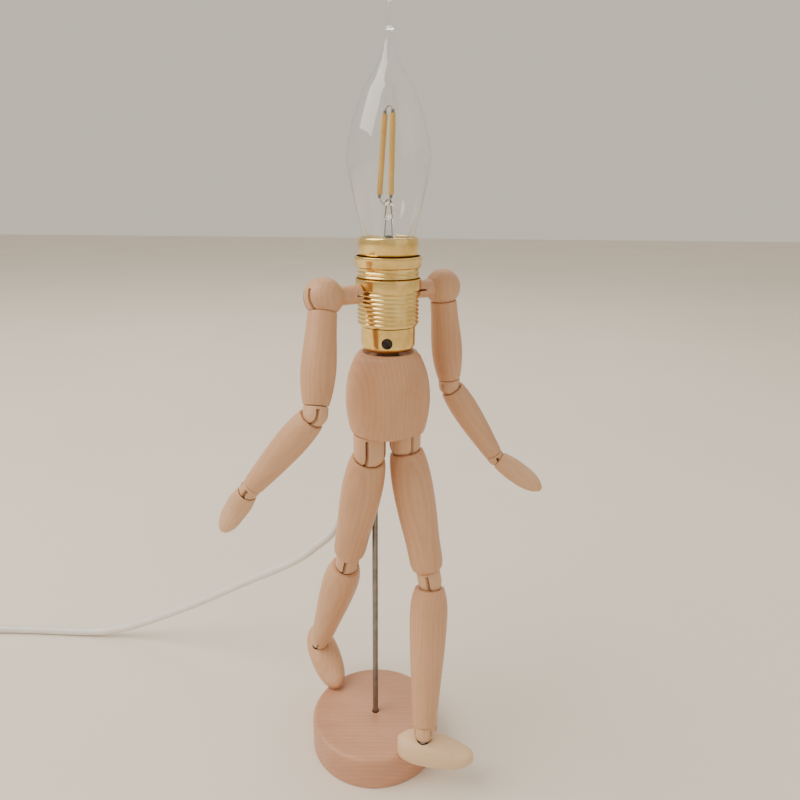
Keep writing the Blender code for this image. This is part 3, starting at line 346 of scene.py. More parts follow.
FINISHES = {
    Finish.LIMB: WoodFinish("limb_beech", (0.66, 0.365, 0.205), (0.54, 0.275, 0.145), (0.34, 0.16, 0.075)),
    Finish.BASE: WoodFinish("base_beech", (0.60, 0.315, 0.190), (0.49, 0.240, 0.145), (0.30, 0.14, 0.08)),
    Finish.BRASS: MetalFinish("brass", (0.88, 0.65, 0.25), (0.74, 0.50, 0.16), 0.13),
    Finish.STEEL: MetalFinish("steel", (0.27, 0.255, 0.24), (0.20, 0.185, 0.175), 0.34),
    Finish.BLACK_STEEL: MetalFinish("black_steel", (0.07, 0.06, 0.055), (0.03, 0.025, 0.022), 0.38),
    Finish.PORCELAIN: PlainFinish("porcelain", (0.84, 0.82, 0.77), (0.74, 0.71, 0.66), 0.22, coat=0.4),
    Finish.GLASS: GlassFinish("glass"),
    Finish.PHOSPHOR: PlainFinish("phosphor", (0.90, 0.58, 0.12), (0.80, 0.44, 0.07), 0.55, scale=2500.0),
    Finish.CORD: PlainFinish("cord_plastic", (0.83, 0.80, 0.76), (0.76, 0.73, 0.69), 0.38, scale=900.0),
}
MATERIALS: dict[Finish, bpy.types.Material] = {}


def material_of(finish: Finish) -> bpy.types.Material:
    """The material of a finish, built once."""
    if finish not in MATERIALS:
        MATERIALS[finish] = FINISHES[finish].make()
    return MATERIALS[finish]


# ------------------------------------------------------------------ frames

def frame_at(place: Vector, pin: Vector, up: Vector) -> Matrix:
    """Matrix of a joint's frame.

    Args:
        place: Its origin.
        pin: Its X axis.
        up: A direction close to its Z axis.

    Returns:
        The matrix.
    """
    side = pin.normalized()
    ahead = up.cross(side).normalized()
    matrix = Matrix((side, ahead, side.cross(ahead))).transposed().to_4x4()
    matrix.translation = place
    return matrix


def turned_frame(place: Vector, axis: Vector) -> Matrix:
    """Matrix whose Z runs along an axis from a place."""
    matrix = axis.to_track_quat("Z", "Y").to_matrix().to_4x4()
    matrix.translation = place
    return matrix


def heading_vector(heading: float, tilt: float) -> Vector:
    """Unit vector from a heading and a tilt from straight down, in degrees."""
    turn, lean = math.radians(heading), math.radians(tilt)
    return Vector((math.sin(lean) * math.cos(turn), math.sin(lean) * math.sin(turn), -math.cos(lean)))


def joint_place(name: str) -> Vector:
    """Where a joint's pin is."""
    return Vector(JOINTS[name]["pos_m"])


def joint_axis(name: str) -> Vector:
    """A joint's axis."""
    return Vector(JOINTS[name]["axis"])


# ------------------------------------------------------------------ modelling by operators

def deselect_all() -> None:
    """Leave nothing selected, in object mode."""
    if bpy.context.object and bpy.context.object.mode != "OBJECT":
        bpy.ops.object.mode_set(mode="OBJECT")
    bpy.ops.object.select_all(action="DESELECT")


def activate(obj: bpy.types.Object) -> None:
    """Select one object alone and make it active."""
    deselect_all()
    obj.select_set(True)
    bpy.context.view_layer.objects.active = obj


def start_piece(name: str) -> bpy.types.Object:
    """Name the primitive that was just added and return it."""
    obj = bpy.context.object
    obj.name = name
    obj.data.name = name
    return obj


def turn_profile(name: str, profile: Sequence[Point], sides: int = 48, closed: bool = False) -> bpy.types.Object:
    """Turn a profile about Z, as on a lathe.

    Args:
        name: The piece's name.
        profile: (radius, height) points in metres.
        sides: Steps round the axis.
        closed: Whether the profile is a loop that doesn't meet the axis.

    Returns:
        The turned object, upright at the origin.
    """
    deselect_all()
    bpy.ops.mesh.primitive_plane_add(size=0.001, location=(profile[0][0], 0, profile[0][1]))
    obj = start_piece(name)
    bpy.ops.object.transform_apply(location=True, rotation=False, scale=False)
    bpy.ops.object.mode_set(mode="EDIT")
    bpy.ops.mesh.select_all(action="SELECT")
    bpy.ops.mesh.merge(type="CENTER")
    loop = list(profile) + ([profile[0]] if closed else [])
    for (radius, height), (next_radius, next_height) in zip(loop, loop[1:]):
        step = (next_radius - radius, 0, next_height - height)
        bpy.ops.mesh.extrude_region_move(TRANSFORM_OT_translate={"value": step})
    bpy.ops.mesh.select_all(action="SELECT")
    bpy.ops.mesh.spin(steps=sides, angle=math.tau, center=(0, 0, 0), axis=(0, 0, 1))
    bpy.ops.mesh.select_all(action="SELECT")
    bpy.ops.mesh.remove_doubles(threshold=2e-6)
    bpy.ops.mesh.normals_make_consistent(inside=False)
    bpy.ops.object.mode_set(mode="OBJECT")
    return obj


def add_block(name: str, low: Sequence[float], high: Sequence[float]) -> bpy.types.Object:
    """Box between two corners, used as a saw cut."""
    deselect_all()
    bpy.ops.mesh.primitive_cube_add(size=1)
    obj = start_piece(name)
    obj.scale = [b - a for a, b in zip(low, high)]
    obj.location = [(a + b) / 2 for a, b in zip(low, high)]
    bpy.ops.object.transform_apply(location=True, rotation=False, scale=True)
    return obj


def add_drill(name: str, radius: float, low: float, high: float, sides: int = 24) -> bpy.types.Object:
    """Upright cylinder between two heights, used as a drill."""
    deselect_all()
    bpy.ops.mesh.primitive_cylinder_add(vertices=sides, radius=radius, depth=high - low,
                                        location=(0, 0, (low + high) / 2))
    obj = start_piece(name)
    bpy.ops.object.transform_apply(location=True, rotation=False, scale=False)
    return obj


def cut_with(obj: bpy.types.Object, cutter: bpy.types.Object, matrix: Matrix | None = None,
             operation: str = "DIFFERENCE") -> None:
    """Apply a boolean with a cutter, which is then removed.

    Args:
        obj: The piece.
        cutter: The tool, in its own frame.
        matrix: Where the tool is put first.
        operation: DIFFERENCE or UNION.
    """
    if matrix is not None:
        cutter.data.transform(matrix)
    activate(obj)
    modifier = obj.modifiers.new("cut", "BOOLEAN")
    modifier.operation = operation
    modifier.solver = "EXACT"
    modifier.object = cutter
    bpy.ops.object.modifier_apply(modifier=modifier.name)
    bpy.data.objects.remove(cutter, do_unlink=True)


GRAIN_STEP = 0.137


def record_grain(obj: bpy.types.Object, index: int, tone: float, along: str = "Z") -> None:
    """Keep each point's place in the piece's own frame, which the wood's grain follows.

    Args:
        obj: The piece, upright at the origin.
        index: Shifts the grain so that no two pieces match.
        tone: How pale and yellow the piece is, from 0 to 1.
        along: The piece's axis that the grain runs along.
    """
    order = {"X": (1, 2, 0), "Y": (2, 0, 1), "Z": (0, 1, 2)}[along]
    shift = Vector((GRAIN_STEP * index, 0.6 * GRAIN_STEP * index, 1.7 * GRAIN_STEP * index))
    obj.data.attributes.new("grain", "FLOAT_VECTOR", "POINT")
    obj.data.attributes.new("tone", "FLOAT", "POINT")
    places = [Vector([vertex.co[axis] for axis in order]) + shift for vertex in obj.data.vertices]
    obj.data.attributes["grain"].data.foreach_set("vector", [value for place in places for value in place])
    obj.data.attributes["tone"].data.foreach_set("value", [tone] * len(places))


def finish_piece(obj: bpy.types.Object, finish: Finish, body: str, nodes: Sequence[str],
                 matrix: Matrix | None = None, angle: float = 35.0) -> bpy.types.Object:
    """Place a piece, shade it, dress it and tie it to the model.

    Args:
        obj: The piece in its own frame.
        finish: Its finish.
        body: The body it moves with.
        nodes: The nodes it stands for.
        matrix: Its frame.
        angle: Edges sharper than this stay sharp.

    Returns:
        The piece.
    """
    if matrix is not None:
        obj.data.transform(matrix)
    activate(obj)
    bpy.ops.object.shade_smooth_by_angle(angle=math.radians(angle))
    obj.data.materials.clear()
    obj.data.materials.append(material_of(finish))
    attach(obj, body)
    if nodes:
        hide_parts(*nodes)
    LOG.info("%s: %d faces, %s, rides on %s", obj.name, len(obj.data.polygons), finish.value, body)
    return obj


# ------------------------------------------------------------------ outlines

def arc_points(centre: Point, radius: float, start: float, stop: float, steps: int) -> list[Point]:
    """Points of an arc in the profile plane, angles in degrees."""
    turns = [math.radians(start + (stop - start) * k / steps) for k in range(steps + 1)]
    return [(centre[0] + radius * math.cos(turn), centre[1] + radius * math.sin(turn)) for turn in turns]


def smooth_outline(stations: Sequence[Point], count: int) -> list[Point]:
    """Smooth curve through stations.

    Args:
        stations: (share of the length, radius) pairs.
        count: Steps along the curve.

    Returns:
        Evenly spread (share, radius) points.
    """
    def slope(k: int) -> float:
        """Slope of the curve at station k."""
        low, high = max(k - 1, 0), min(k + 1, len(stations) - 1)
        return (stations[high][1] - stations[low][1]) / (stations[high][0] - stations[low][0])

    points = []
    for step in range(count + 1):
        share = stations[-1][0] * step / count
        k = max(i for i in range(len(stations) - 1) if stations[i][0] <= share + 1e-9)
        (s0, r0), (s1, r1) = stations[k], stations[k + 1]
        width = s1 - s0
        t = (share - s0) / width
        radius = ((2 * t ** 3 - 3 * t ** 2 + 1) * r0 + (t ** 3 - 2 * t ** 2 + t) * width * slope(k)
                  + (3 * t ** 2 - 2 * t ** 3) * r1 + (t ** 3 - t ** 2) * width * slope(k + 1))
        points.append((share, radius))
    return points


# ------------------------------------------------------------------ stage

@dataclass(frozen=True)
class Stage:
    """Camera, pale floor and soft light."""

    camera_place: tuple[float, float, float] = (0.0121, -0.2975, 0.2958)
    camera_pitch: float = 72.5
    camera_roll: float = 0.56
    lens: float = 29.25

    def add_camera(self) -> None:
        """Add the camera and make it the scene's."""
        data = bpy.data.cameras.new("camera")
        data.lens = self.lens
        data.sensor_width = 36
        data.clip_start = 0.01
        camera = bpy.data.objects.new("camera", data)
        bpy.context.scene.collection.objects.link(camera)
        aim = Matrix.Rotation(math.radians(self.camera_pitch), 4, "X")
        roll = Matrix.Rotation(math.radians(self.camera_roll), 4, "Z")
        camera.matrix_world = Matrix.Translation(self.camera_place) @ aim @ roll
        bpy.context.scene.camera = camera

    def add_floor(self) -> None:
        """Add a pale floor."""
        deselect_all()
        bpy.ops.mesh.primitive_plane_add(size=1)
        floor = start_piece("floor")
        floor.scale = (9, 9, 1)
        bpy.ops.object.transform_apply(location=False, rotation=False, scale=True)
        nodes = NodeTree("pale_floor")
        place = nodes.add("ShaderNodeTexCoord").outputs["Object"]
        cloud = nodes.noise(nodes.mapped(place, (3, 3, 3)), 1.0, 3.0, 0.5)
        tones = ((0.3, (0.80, 0.735, 0.645)), (0.7, (0.84, 0.775, 0.685)))
        nodes.shader("Base Color", nodes.colours(cloud, tones))
        nodes.set("Roughness", 0.75)
        floor.data.materials.append(nodes.material)

    def add_light(self, name: str, place: Sequence[float], aim: Sequence[float], size: float, power: float,
                  colour: tuple[float, float, float]) -> None:
        """Add a soft square light.

        Args:
            name: Its name.
            place: Where it stands.
            aim: Where it points.
            size: Its side.
            power: Its strength in watts.
            colour: Its colour.
        """
        data = bpy.data.lights.new(name, "AREA")
        data.shape = "SQUARE"
        data.size = size
        data.energy = power
        data.color = colour
        light = bpy.data.objects.new(name, data)
        bpy.context.scene.collection.objects.link(light)
        light.location = place
        light.rotation_euler = (Vector(aim) - Vector(place)).to_track_quat("-Z", "Y").to_euler()

    def add_world(self) -> None:
        """Add even light from all round."""
        world = bpy.data.worlds.new("studio")
        bpy.context.scene.world = world
        world.use_nodes = True
        sky = world.node_tree.nodes["Background"]
        sky.inputs["Color"].default_value = (0.98, 0.89, 0.75, 1.0)
        sky.inputs["Strength"].default_value = 0.72

    def build(self) -> None:
        """Build all of the stage."""
        self.add_camera()
        self.add_floor()
        self.add_world()
        self.add_light("key", (-1.25, -0.35, 1.75), (0, 0, 0.15), 1.7, 44.0, (1.0, 0.93, 0.83))
        self.add_light("fill", (1.3, -1.0, 0.8), (0, 0, 0.18), 1.6, 2.4, (1.0, 0.95, 0.90))
        self.add_light("rim", (0.2, 1.1, 1.5), (0, 0, 0.15), 1.0, 6.0, (1.0, 0.95, 0.88))


# ------------------------------------------------------------------ cord

@dataclass(frozen=True)
class PowerCord:
    """White cord from the pelvis's back to a coil and a plug past the view's edge."""

    radius: float = 0.0025
    gland_end: float = 0.0345
    exit_rise: float = 0.0205
    coil_centre: Point = (-0.305, 0.05145)
    turn_radius: float = 0.0292
    turn_step: float = 0.0053
    layer_step: float = 0.0052
    floor_height: float = 0.0027
    turns: float = 7.25
    per_turn: int = 16
    plug_tail_radius: float = 0.0033
    plug_tail: float = 0.012
    plug_body: float = 0.036
    plug_width: float = 0.0353
    plug_depth: float = 0.0137
    pin_spacing: float = 0.019

    @property
    def aim(self) -> Vector:
        """Way out of the pelvis's back."""
        return Vector((math.cos(math.radians(97)), math.sin(math.radians(97)), 0))

    @property
    def axis(self) -> Vector:
        """Point of the pelvis's axis at the exit's height."""
        low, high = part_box("pelvis")
        return Vector(((low[0] + high[0]) / 2, FIGURE_Y, low[2] + self.exit_rise))

    @property
    def outer(self) -> float:
        """Outside radius of the coil."""
        return self.turn_radius + 2 * self.turn_step

    @property
    def lane(self) -> float:
        """Radius of the coil's outer turn."""
        return self.turn_radius + 1.5 * self.turn_step

    @property
    def plug_start(self) -> Vector:
        """Where the plug's tail begins."""
        reach = math.sqrt(self.outer ** 2 - (self.lane - self.plug_tail_radius) ** 2) + 2 * GAP
        return Vector((self.coil_centre[0] - self.lane, self.coil_centre[1] - reach, self.plug_depth / 2))

    def route(self) -> list[Vector]:
        """Middle line of the free part, from the gland's end to the coil."""
        out = [Vector((FIGURE_X, FIGURE_Y, self.axis.z)) + self.aim * (self.gland_end + reach)
               for reach in (GAP, 0.005, 0.010)]
        points = [
            (-0.0006, 0.0405, 0.2096), (-0.0024, 0.0468, 0.2035), (-0.0045, 0.0507, 0.1945),
            (-0.0068, 0.0524, 0.1830), (-0.0096, 0.0527, 0.1680), (-0.0128, 0.0523, 0.1500),
            (-0.0170, 0.0515, 0.1320), (-0.0215, 0.0509, 0.1160), (-0.0278, 0.0515, 0.1018),
            (-0.0371, 0.0540, 0.0917), (-0.0490, 0.0575, 0.0804), (-0.0659, 0.0620, 0.0689),
            (-0.0833, 0.0665, 0.0585), (-0.1014, 0.0710, 0.0471), (-0.1203, 0.0760, 0.0351),
            (-0.1393, 0.0800, 0.0246), (-0.1582, 0.0828, 0.0152), (-0.1768, 0.0845, 0.0078),
            (-0.1960, 0.0858, 0.0036), (-0.2180, 0.0870, 0.0027), (-0.2430, 0.0882, 0.0027),
            (-0.2640, 0.0886, 0.0027), (-0.2847, 0.0886, 0.0027),
        ]
        return out + [Vector(point) for point in points]

    def winding(self) -> list[Vector]:
        """Middle line of the coil, four turns inward, up, four outward, then into the plug's tail."""
        def ease(value: float) -> float:
            """Smooth step from 0 to 1."""
            value = min(1.0, max(0.0, value))
            return value * value * (3 - 2 * value)

        points = []
        for step in range(int(self.turns * self.per_turn) + 1):
            turn = step / self.per_turn
            rank = 1.5 - sum(ease((turn - 0.8 - k) / 0.2) for k in range(3))
            rank += sum(ease((turn - 4.4 - k) / 0.2) for k in range(3))
            layer = ease((turn - 3.6) / 0.2)
            angle = math.radians(90) + math.tau * turn
            reach = self.turn_radius + rank * self.turn_step
            points.append(Vector((self.coil_centre[0] + reach * math.cos(angle),
                                  self.coil_centre[1] + reach * math.sin(angle),
                                  self.floor_height + layer * self.layer_step)))
        last, end = points[-1], self.plug_start
        for share in (0.33, 0.66, 1.0):
            points.append(Vector((last.x, last.y + (end.y - last.y) * share,
                                  last.z + (end.z - last.z) * ease(share))))
        points.append(end + Vector((0, -0.0012, 0)))
        return points

    def add_line(self) -> bpy.types.Object:
        """Build the cord on one open curve.

        Returns:
            The cord.
        """
        points = self.route() + self.winding()
        data = bpy.data.curves.new("power_cord", "CURVE")
        data.dimensions = "3D"
        data.bevel_depth = self.radius
        data.bevel_resolution = 4
        data.resolution_u = 6
        data.use_fill_caps = True
        spline = data.splines.new("BEZIER")
        spline.bezier_points.add(len(points) - 1)
        for k, (knot, point) in enumerate(zip(spline.bezier_points, points)):
            before, after = points[max(k - 1, 0)], points[min(k + 1, len(points) - 1)]
            way = (after - before).normalized()
            knot.co = point
            knot.handle_left_type = knot.handle_right_type = "FREE"
            knot.handle_left = point - way * (point - before).length / 3
            knot.handle_right = point + way * (after - point).length / 3
        cord = bpy.data.objects.new("power_cord", data)
        bpy.context.scene.collection.objects.link(cord)
        data.materials.append(material_of(Finish.CORD))
        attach(cord, ROOT)
        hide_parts("cord", "cord_coil")
        return cord

    def add_gland(self) -> bpy.types.Object:
        """Tapered strain relief with a collar and ribs."""
        body, collar, tip = 0.0030, 0.0197, self.gland_end
        profile = [(0, 0.0125), (body - 0.0003, 0.0125), (body, 0.0128), (body, collar - 0.0002),
                   (0.0043, collar), (0.0043, collar + 0.0012), (0.0039, collar + 0.0017)]
        ribs = 6
        step = (tip - 0.0008 - (collar + 0.0022)) / ribs
        for k in range(ribs):
            low = collar + 0.0022 + k * step
            crest = 0.0037 - 0.0007 * k / ribs
            profile += [(crest - 0.0003, low), (crest, low + 0.15 * step), (crest - 0.00005, low + 0.62 * step),
                        (crest - 0.0005, low + 0.78 * step)]
        profile += [(0.0030, tip - 0.0006), (0.0027, tip), (0, tip)]
        gland = turn_profile("strain_relief", profile, 32)
        place = turned_frame(Vector((FIGURE_X, FIGURE_Y, self.axis.z)), self.aim)
        return finish_piece(gland, Finish.CORD, ROOT, ["cord_gland"], place, 50)

    def add_plug(self) -> bpy.types.Object:
        """Flat two-pin plug with a tapered tail, a grip and rounded pins."""
        tail, body = self.plug_tail, self.plug_body
        wide, deep = self.plug_width / 2, self.plug_depth / 2
        end = tail + body
        stations = [(0, .0031, .0029), (0.0006, .0033, .0030), (tail * .5, .0036, .0034), (tail, .0048, .0045),
                    (tail + .002, .0066, .0052), (tail + .004, .0085, .0060), (tail + .007, .0114, deep * .95),
                    (tail + .011, .0140, deep), (tail + .013, .0139, deep * .93), (tail + .015, .0147, deep),
                    (tail + .017, .0146, deep * .93), (tail + .019, .0155, deep), (tail + .021, .0154, deep * .93),
                    (tail + .023, .0163, deep), (tail + body * .75, wide, deep), (end - .0015, wide, deep),
                    (end - .0005, wide - .0004, deep - .0004), (end, wide - .001, deep - .001)]
        rings = []
        for y, across, up in stations:
            turns = [math.tau * (k + 0.5) / 28 for k in range(28)]
            rings.append([Vector((across * math.copysign(abs(math.cos(t)) ** 0.6, math.cos(t)), -y,
                                  up * math.copysign(abs(math.sin(t)) ** 0.6, math.sin(t)))) for t in turns])
        plug = loft_rings("plug_body", rings)
        finish_piece(plug, Finish.CORD, ROOT, ["plug"], Matrix.Translation(self.plug_start), 55)
        for side, x in (("left", -self.pin_spacing / 2), ("right", self.pin_spacing / 2)):
            profile = [(0, -0.001), (0.002, -0.001), (0.002, 0.017), (0.0018, 0.0178), (0.0012, 0.0186),
                       (0.0005, 0.019), (0, 0.019)]
            pin = turn_profile(f"plug_pin_{side}", profile, 24)
            place = turned_frame(self.plug_start + Vector((x, -end, 0)), Vector((0, -1, 0)))
            finish_piece(pin, Finish.BRASS, ROOT, ["plug"], place)
        return plug

    def build(self) -> None:
        cord = self.add_line()
        gland = self.add_gland()
        plug = self.add_plug()


def loft_rings(name: str, rings: Sequence[Sequence[Vector]]) -> bpy.types.Object:
    """Skin a row of rings by extruding the first and shaping each copy.

    Args:
        name: The piece's name.
        rings: Outlines with the same number of points.

    Returns:
        The closed piece.
    """
    deselect_all()
    bpy.ops.mesh.primitive_circle_add(vertices=len(rings[0]), radius=0.01, fill_type="NGON")
    obj = start_piece(name)
    for vertex, point in zip(obj.data.vertices, rings[0]):
        vertex.co = point
    bpy.ops.object.mode_set(mode="EDIT")
    for before, after in zip(rings, rings[1:]):
        bpy.ops.mesh.extrude_region_move()
        bpy.ops.object.mode_set(mode="OBJECT")
        for vertex in obj.data.vertices:
            if vertex.select:
                nearest = min(range(len(before)), key=lambda k: (before[k] - vertex.co).length_squared)
                vertex.co = after[nearest]
        bpy.ops.object.mode_set(mode="EDIT")
    bpy.ops.mesh.select_all(action="SELECT")
    bpy.ops.mesh.normals_make_consistent(inside=False)
    bpy.ops.object.mode_set(mode="OBJECT")
    return obj


def squeeze_rings(obj: bpy.types.Object, share_at: Callable[[float], float]) -> None:
    """Flatten a turned piece along Y, ring by ring.

    Args:
        obj: The upright piece.
        share_at: The share of its depth that is kept at a height.
    """
    heights = sorted({round(vertex.co.z, 6) for vertex in obj.data.vertices})
    activate(obj)
    for height in heights:
        share = share_at(height)
        if share > 0.999:
            continue
        for vertex in obj.data.vertices:
            vertex.select = abs(vertex.co.z - height) < 2e-6
        for part in (*obj.data.edges, *obj.data.polygons):
            part.select = False
        bpy.ops.object.mode_set(mode="EDIT")
        bpy.ops.mesh.select_mode(type="VERT")
        bpy.ops.transform.resize(value=(1, share, 1), center_override=(0, 0, height))
        bpy.ops.object.mode_set(mode="OBJECT")


# ------------------------------------------------------------------ knuckles and limbs

class Side(Enum):
    """The figure's own sides."""

    RIGHT = "right"
    LEFT = "left"


@dataclass(frozen=True)
class Knuckle:
    """Sizes of a sawn knuckle: rounded end, flat face, lip of the piece below and kerfs."""

    radius: float
    height: float
    rim_depth: float
    kerf_offset: float
    tine: float = 0.0008
    tine_width: float = 0.0022
    kerf_roof: float = 0.0012
    shank: float = 0.0070

    @property
    def cup(self) -> float:
        """Radius of the cup that the rounded end turns in."""
        return self.radius + GAP

    @property
    def bore(self) -> float:
        """Radius of the hole under the cup."""
        return math.hypot(self.kerf_offset + self.tine / 2, self.tine_width / 2) + GAP

    def cup_profile(self, steps: int = 8) -> list[Point]:
        """Inside of a lip, from its rim down to the axis."""
        rim = -math.degrees(math.asin(self.rim_depth / self.cup))
        mouth = -math.degrees(math.acos(self.bore / self.cup))
        bore_end = -(self.cup + 2 * GAP + self.tine)
        shank_end = -(self.cup + self.shank + GAP)
        cup = arc_points((0, 0), self.cup, rim, mouth, steps)
        return cup + [(self.bore, bore_end), (0.0013, bore_end), (0.0013, shank_end), (0, shank_end)]

    def saw(self, obj: bpy.types.Object, back: float, roof: float) -> None:
        """Saw both kerfs and drill the pin's hole.

        Args:
            obj: The piece, pin along X at the origin.
            back: How far the kerfs run past the pin.
            roof: How high they reach.
        """
        half = self.tine / 2 + 0.0003
        past = self.radius + 0.001
        for centre in (-self.kerf_offset, self.kerf_offset):
            cutter = add_block("saw", (centre - half, -past, -past), (centre + half, back, roof))
            cut_with(obj, cutter)
        drill = add_drill("drill", 0.0010, -self.kerf_offset, self.kerf_offset, 16)
        cut_with(obj, drill, Matrix.Rotation(math.pi / 2, 4, "Y"))

    def make_block(self, name: str) -> bpy.types.Object:
        """Turn, saw and drill a knuckle block.

        Args:
            name: Its name.

        Returns:
            The block, pin along X at the origin.
        """
        edge = 0.0005
        profile = [(0, self.height)]
        profile += arc_points((self.radius - edge, self.height - edge), edge, 90, 0, 3)
        profile += arc_points((0, 0), self.radius, 0, -86, 16) + [(0, -self.radius)]
        block = turn_profile(name, profile, 48)
        self.saw(block, self.radius + 0.001, self.height - self.kerf_roof)
        return block


HIP = Knuckle(0.0075, 0.0090, 0.0040, 0.0047)
KNEE = Knuckle(0.0060, 0.0070, 0.0032, 0.0039)
ANKLE = Knuckle(0.0052, 0.0040, 0.0030, 0.0031)
ELBOW = Knuckle(0.0052, 0.0032, 0.0028, 0.0030)
WRIST = Knuckle(0.0043, 0.0030, 0.0022, 0.0024, tine_width=0.0018)
SHOULDER = Knuckle(0.0083, 0.0, 0.0064, 0.0026)


@dataclass(frozen=True)
class TurnedLimb:
    """Limb turned on a lathe, from the lip round one knuckle to the face over the next."""

    upper: Knuckle
    lower: Knuckle
    length: float
    outline: tuple[Point, ...]
    end_round: float

    def make(self, name: str) -> bpy.types.Object:
        """Turn the limb.

        Args:
            name: Its name.

        Returns:
            The limb, upper pin at the origin, down along -Z.
        """
        solid = self.length - self.lower.height - GAP
        start = -self.upper.rim_depth
        span = -solid - start
        outer = [(radius, start + share * span) for share, radius in smooth_outline(self.outline, 34)]
        edge, lip = self.end_round, min(self.end_round, 0.0006)
        end_radius, lip_radius = outer[-1][0], outer[0][0]
        profile = [(0, -solid)] + arc_points((end_radius - edge, -solid + edge), edge, -90, 0, 5)
        profile += [p for p in outer[::-1] if -solid + edge + 0.0003 < p[1] < start - lip - 0.0003]
        profile += arc_points((lip_radius - lip, start - lip), lip, 0, 90, 4)
        return turn_profile(name, profile + self.upper.cup_profile(), 60)


THIGH = TurnedLimb(HIP, KNEE, 0.074, ((0, .0081), (.10, .0092), (.27, .0099), (.5, .0096), (.75, .0086),
                                     (.92, .0083), (1, .0079)), 0.0022)
SHIN = TurnedLimb(KNEE, ANKLE, 0.0788, ((0, .0076), (.09, .0091), (.2, .0096), (.45, .0089), (.72, .0075),
                                       (.92, .0066), (1, .0063)), 0.0010)
UPPER_ARM = TurnedLimb(SHOULDER, ELBOW, 0.0482, ((0, .0061), (.2, .0064), (.45, .0071), (.64, .0073),
                                                (.84, .0066), (1, .0054)), 0.0005)
FOREARM = TurnedLimb(ELBOW, WRIST, 0.048, ((0, .0058), (.12, .0064), (.32, .0067), (.6, .0061), (.85, .0052),
                                          (1, .0046)), 0.0005)


@dataclass(frozen=True)
class Hand:
    """Paddle-shaped hand."""

    length: float = 0.028
    outline: tuple[Point, ...] = ((0, .0046), (.15, .0052), (.42, .0060), (.68, .0056), (.88, .0038),
                                  (.97, .0019))
    flatten: float = 0.30

    def make(self, name: str) -> bpy.types.Object:
        """Turn the hand and flatten it away from the wrist.

        Args:
            name: Its name.

        Returns:
            The hand, wrist's pin at the origin.
        """
        start = -WRIST.rim_depth
        span = -self.length - start
        outer = [(radius, start + share * span) for share, radius in smooth_outline(self.outline, 26)]
        edge = 0.0005
        tip = [(0, -self.length), (0.0008, -self.length + 0.00006), (0.0014, -self.length + 0.0003)]
        profile = tip + [p for p in outer[::-1] if p[1] < start - edge - 0.0002]
        profile += arc_points((outer[0][0] - edge, start - edge), edge, 0, 90, 4)
        hand = turn_profile(name, profile + WRIST.cup_profile(6), 48)
        round_end = WRIST.cup + WRIST.shank * 0.35

        def share_at(height: float) -> float:
            """Share of the depth that is left at a height."""
            share = min(1.0, max(0.0, (-height - round_end) / (self.length * 0.3)))
            return 1 - self.flatten * share * share * (3 - 2 * share)

        squeeze_rings(hand, share_at)
        return hand


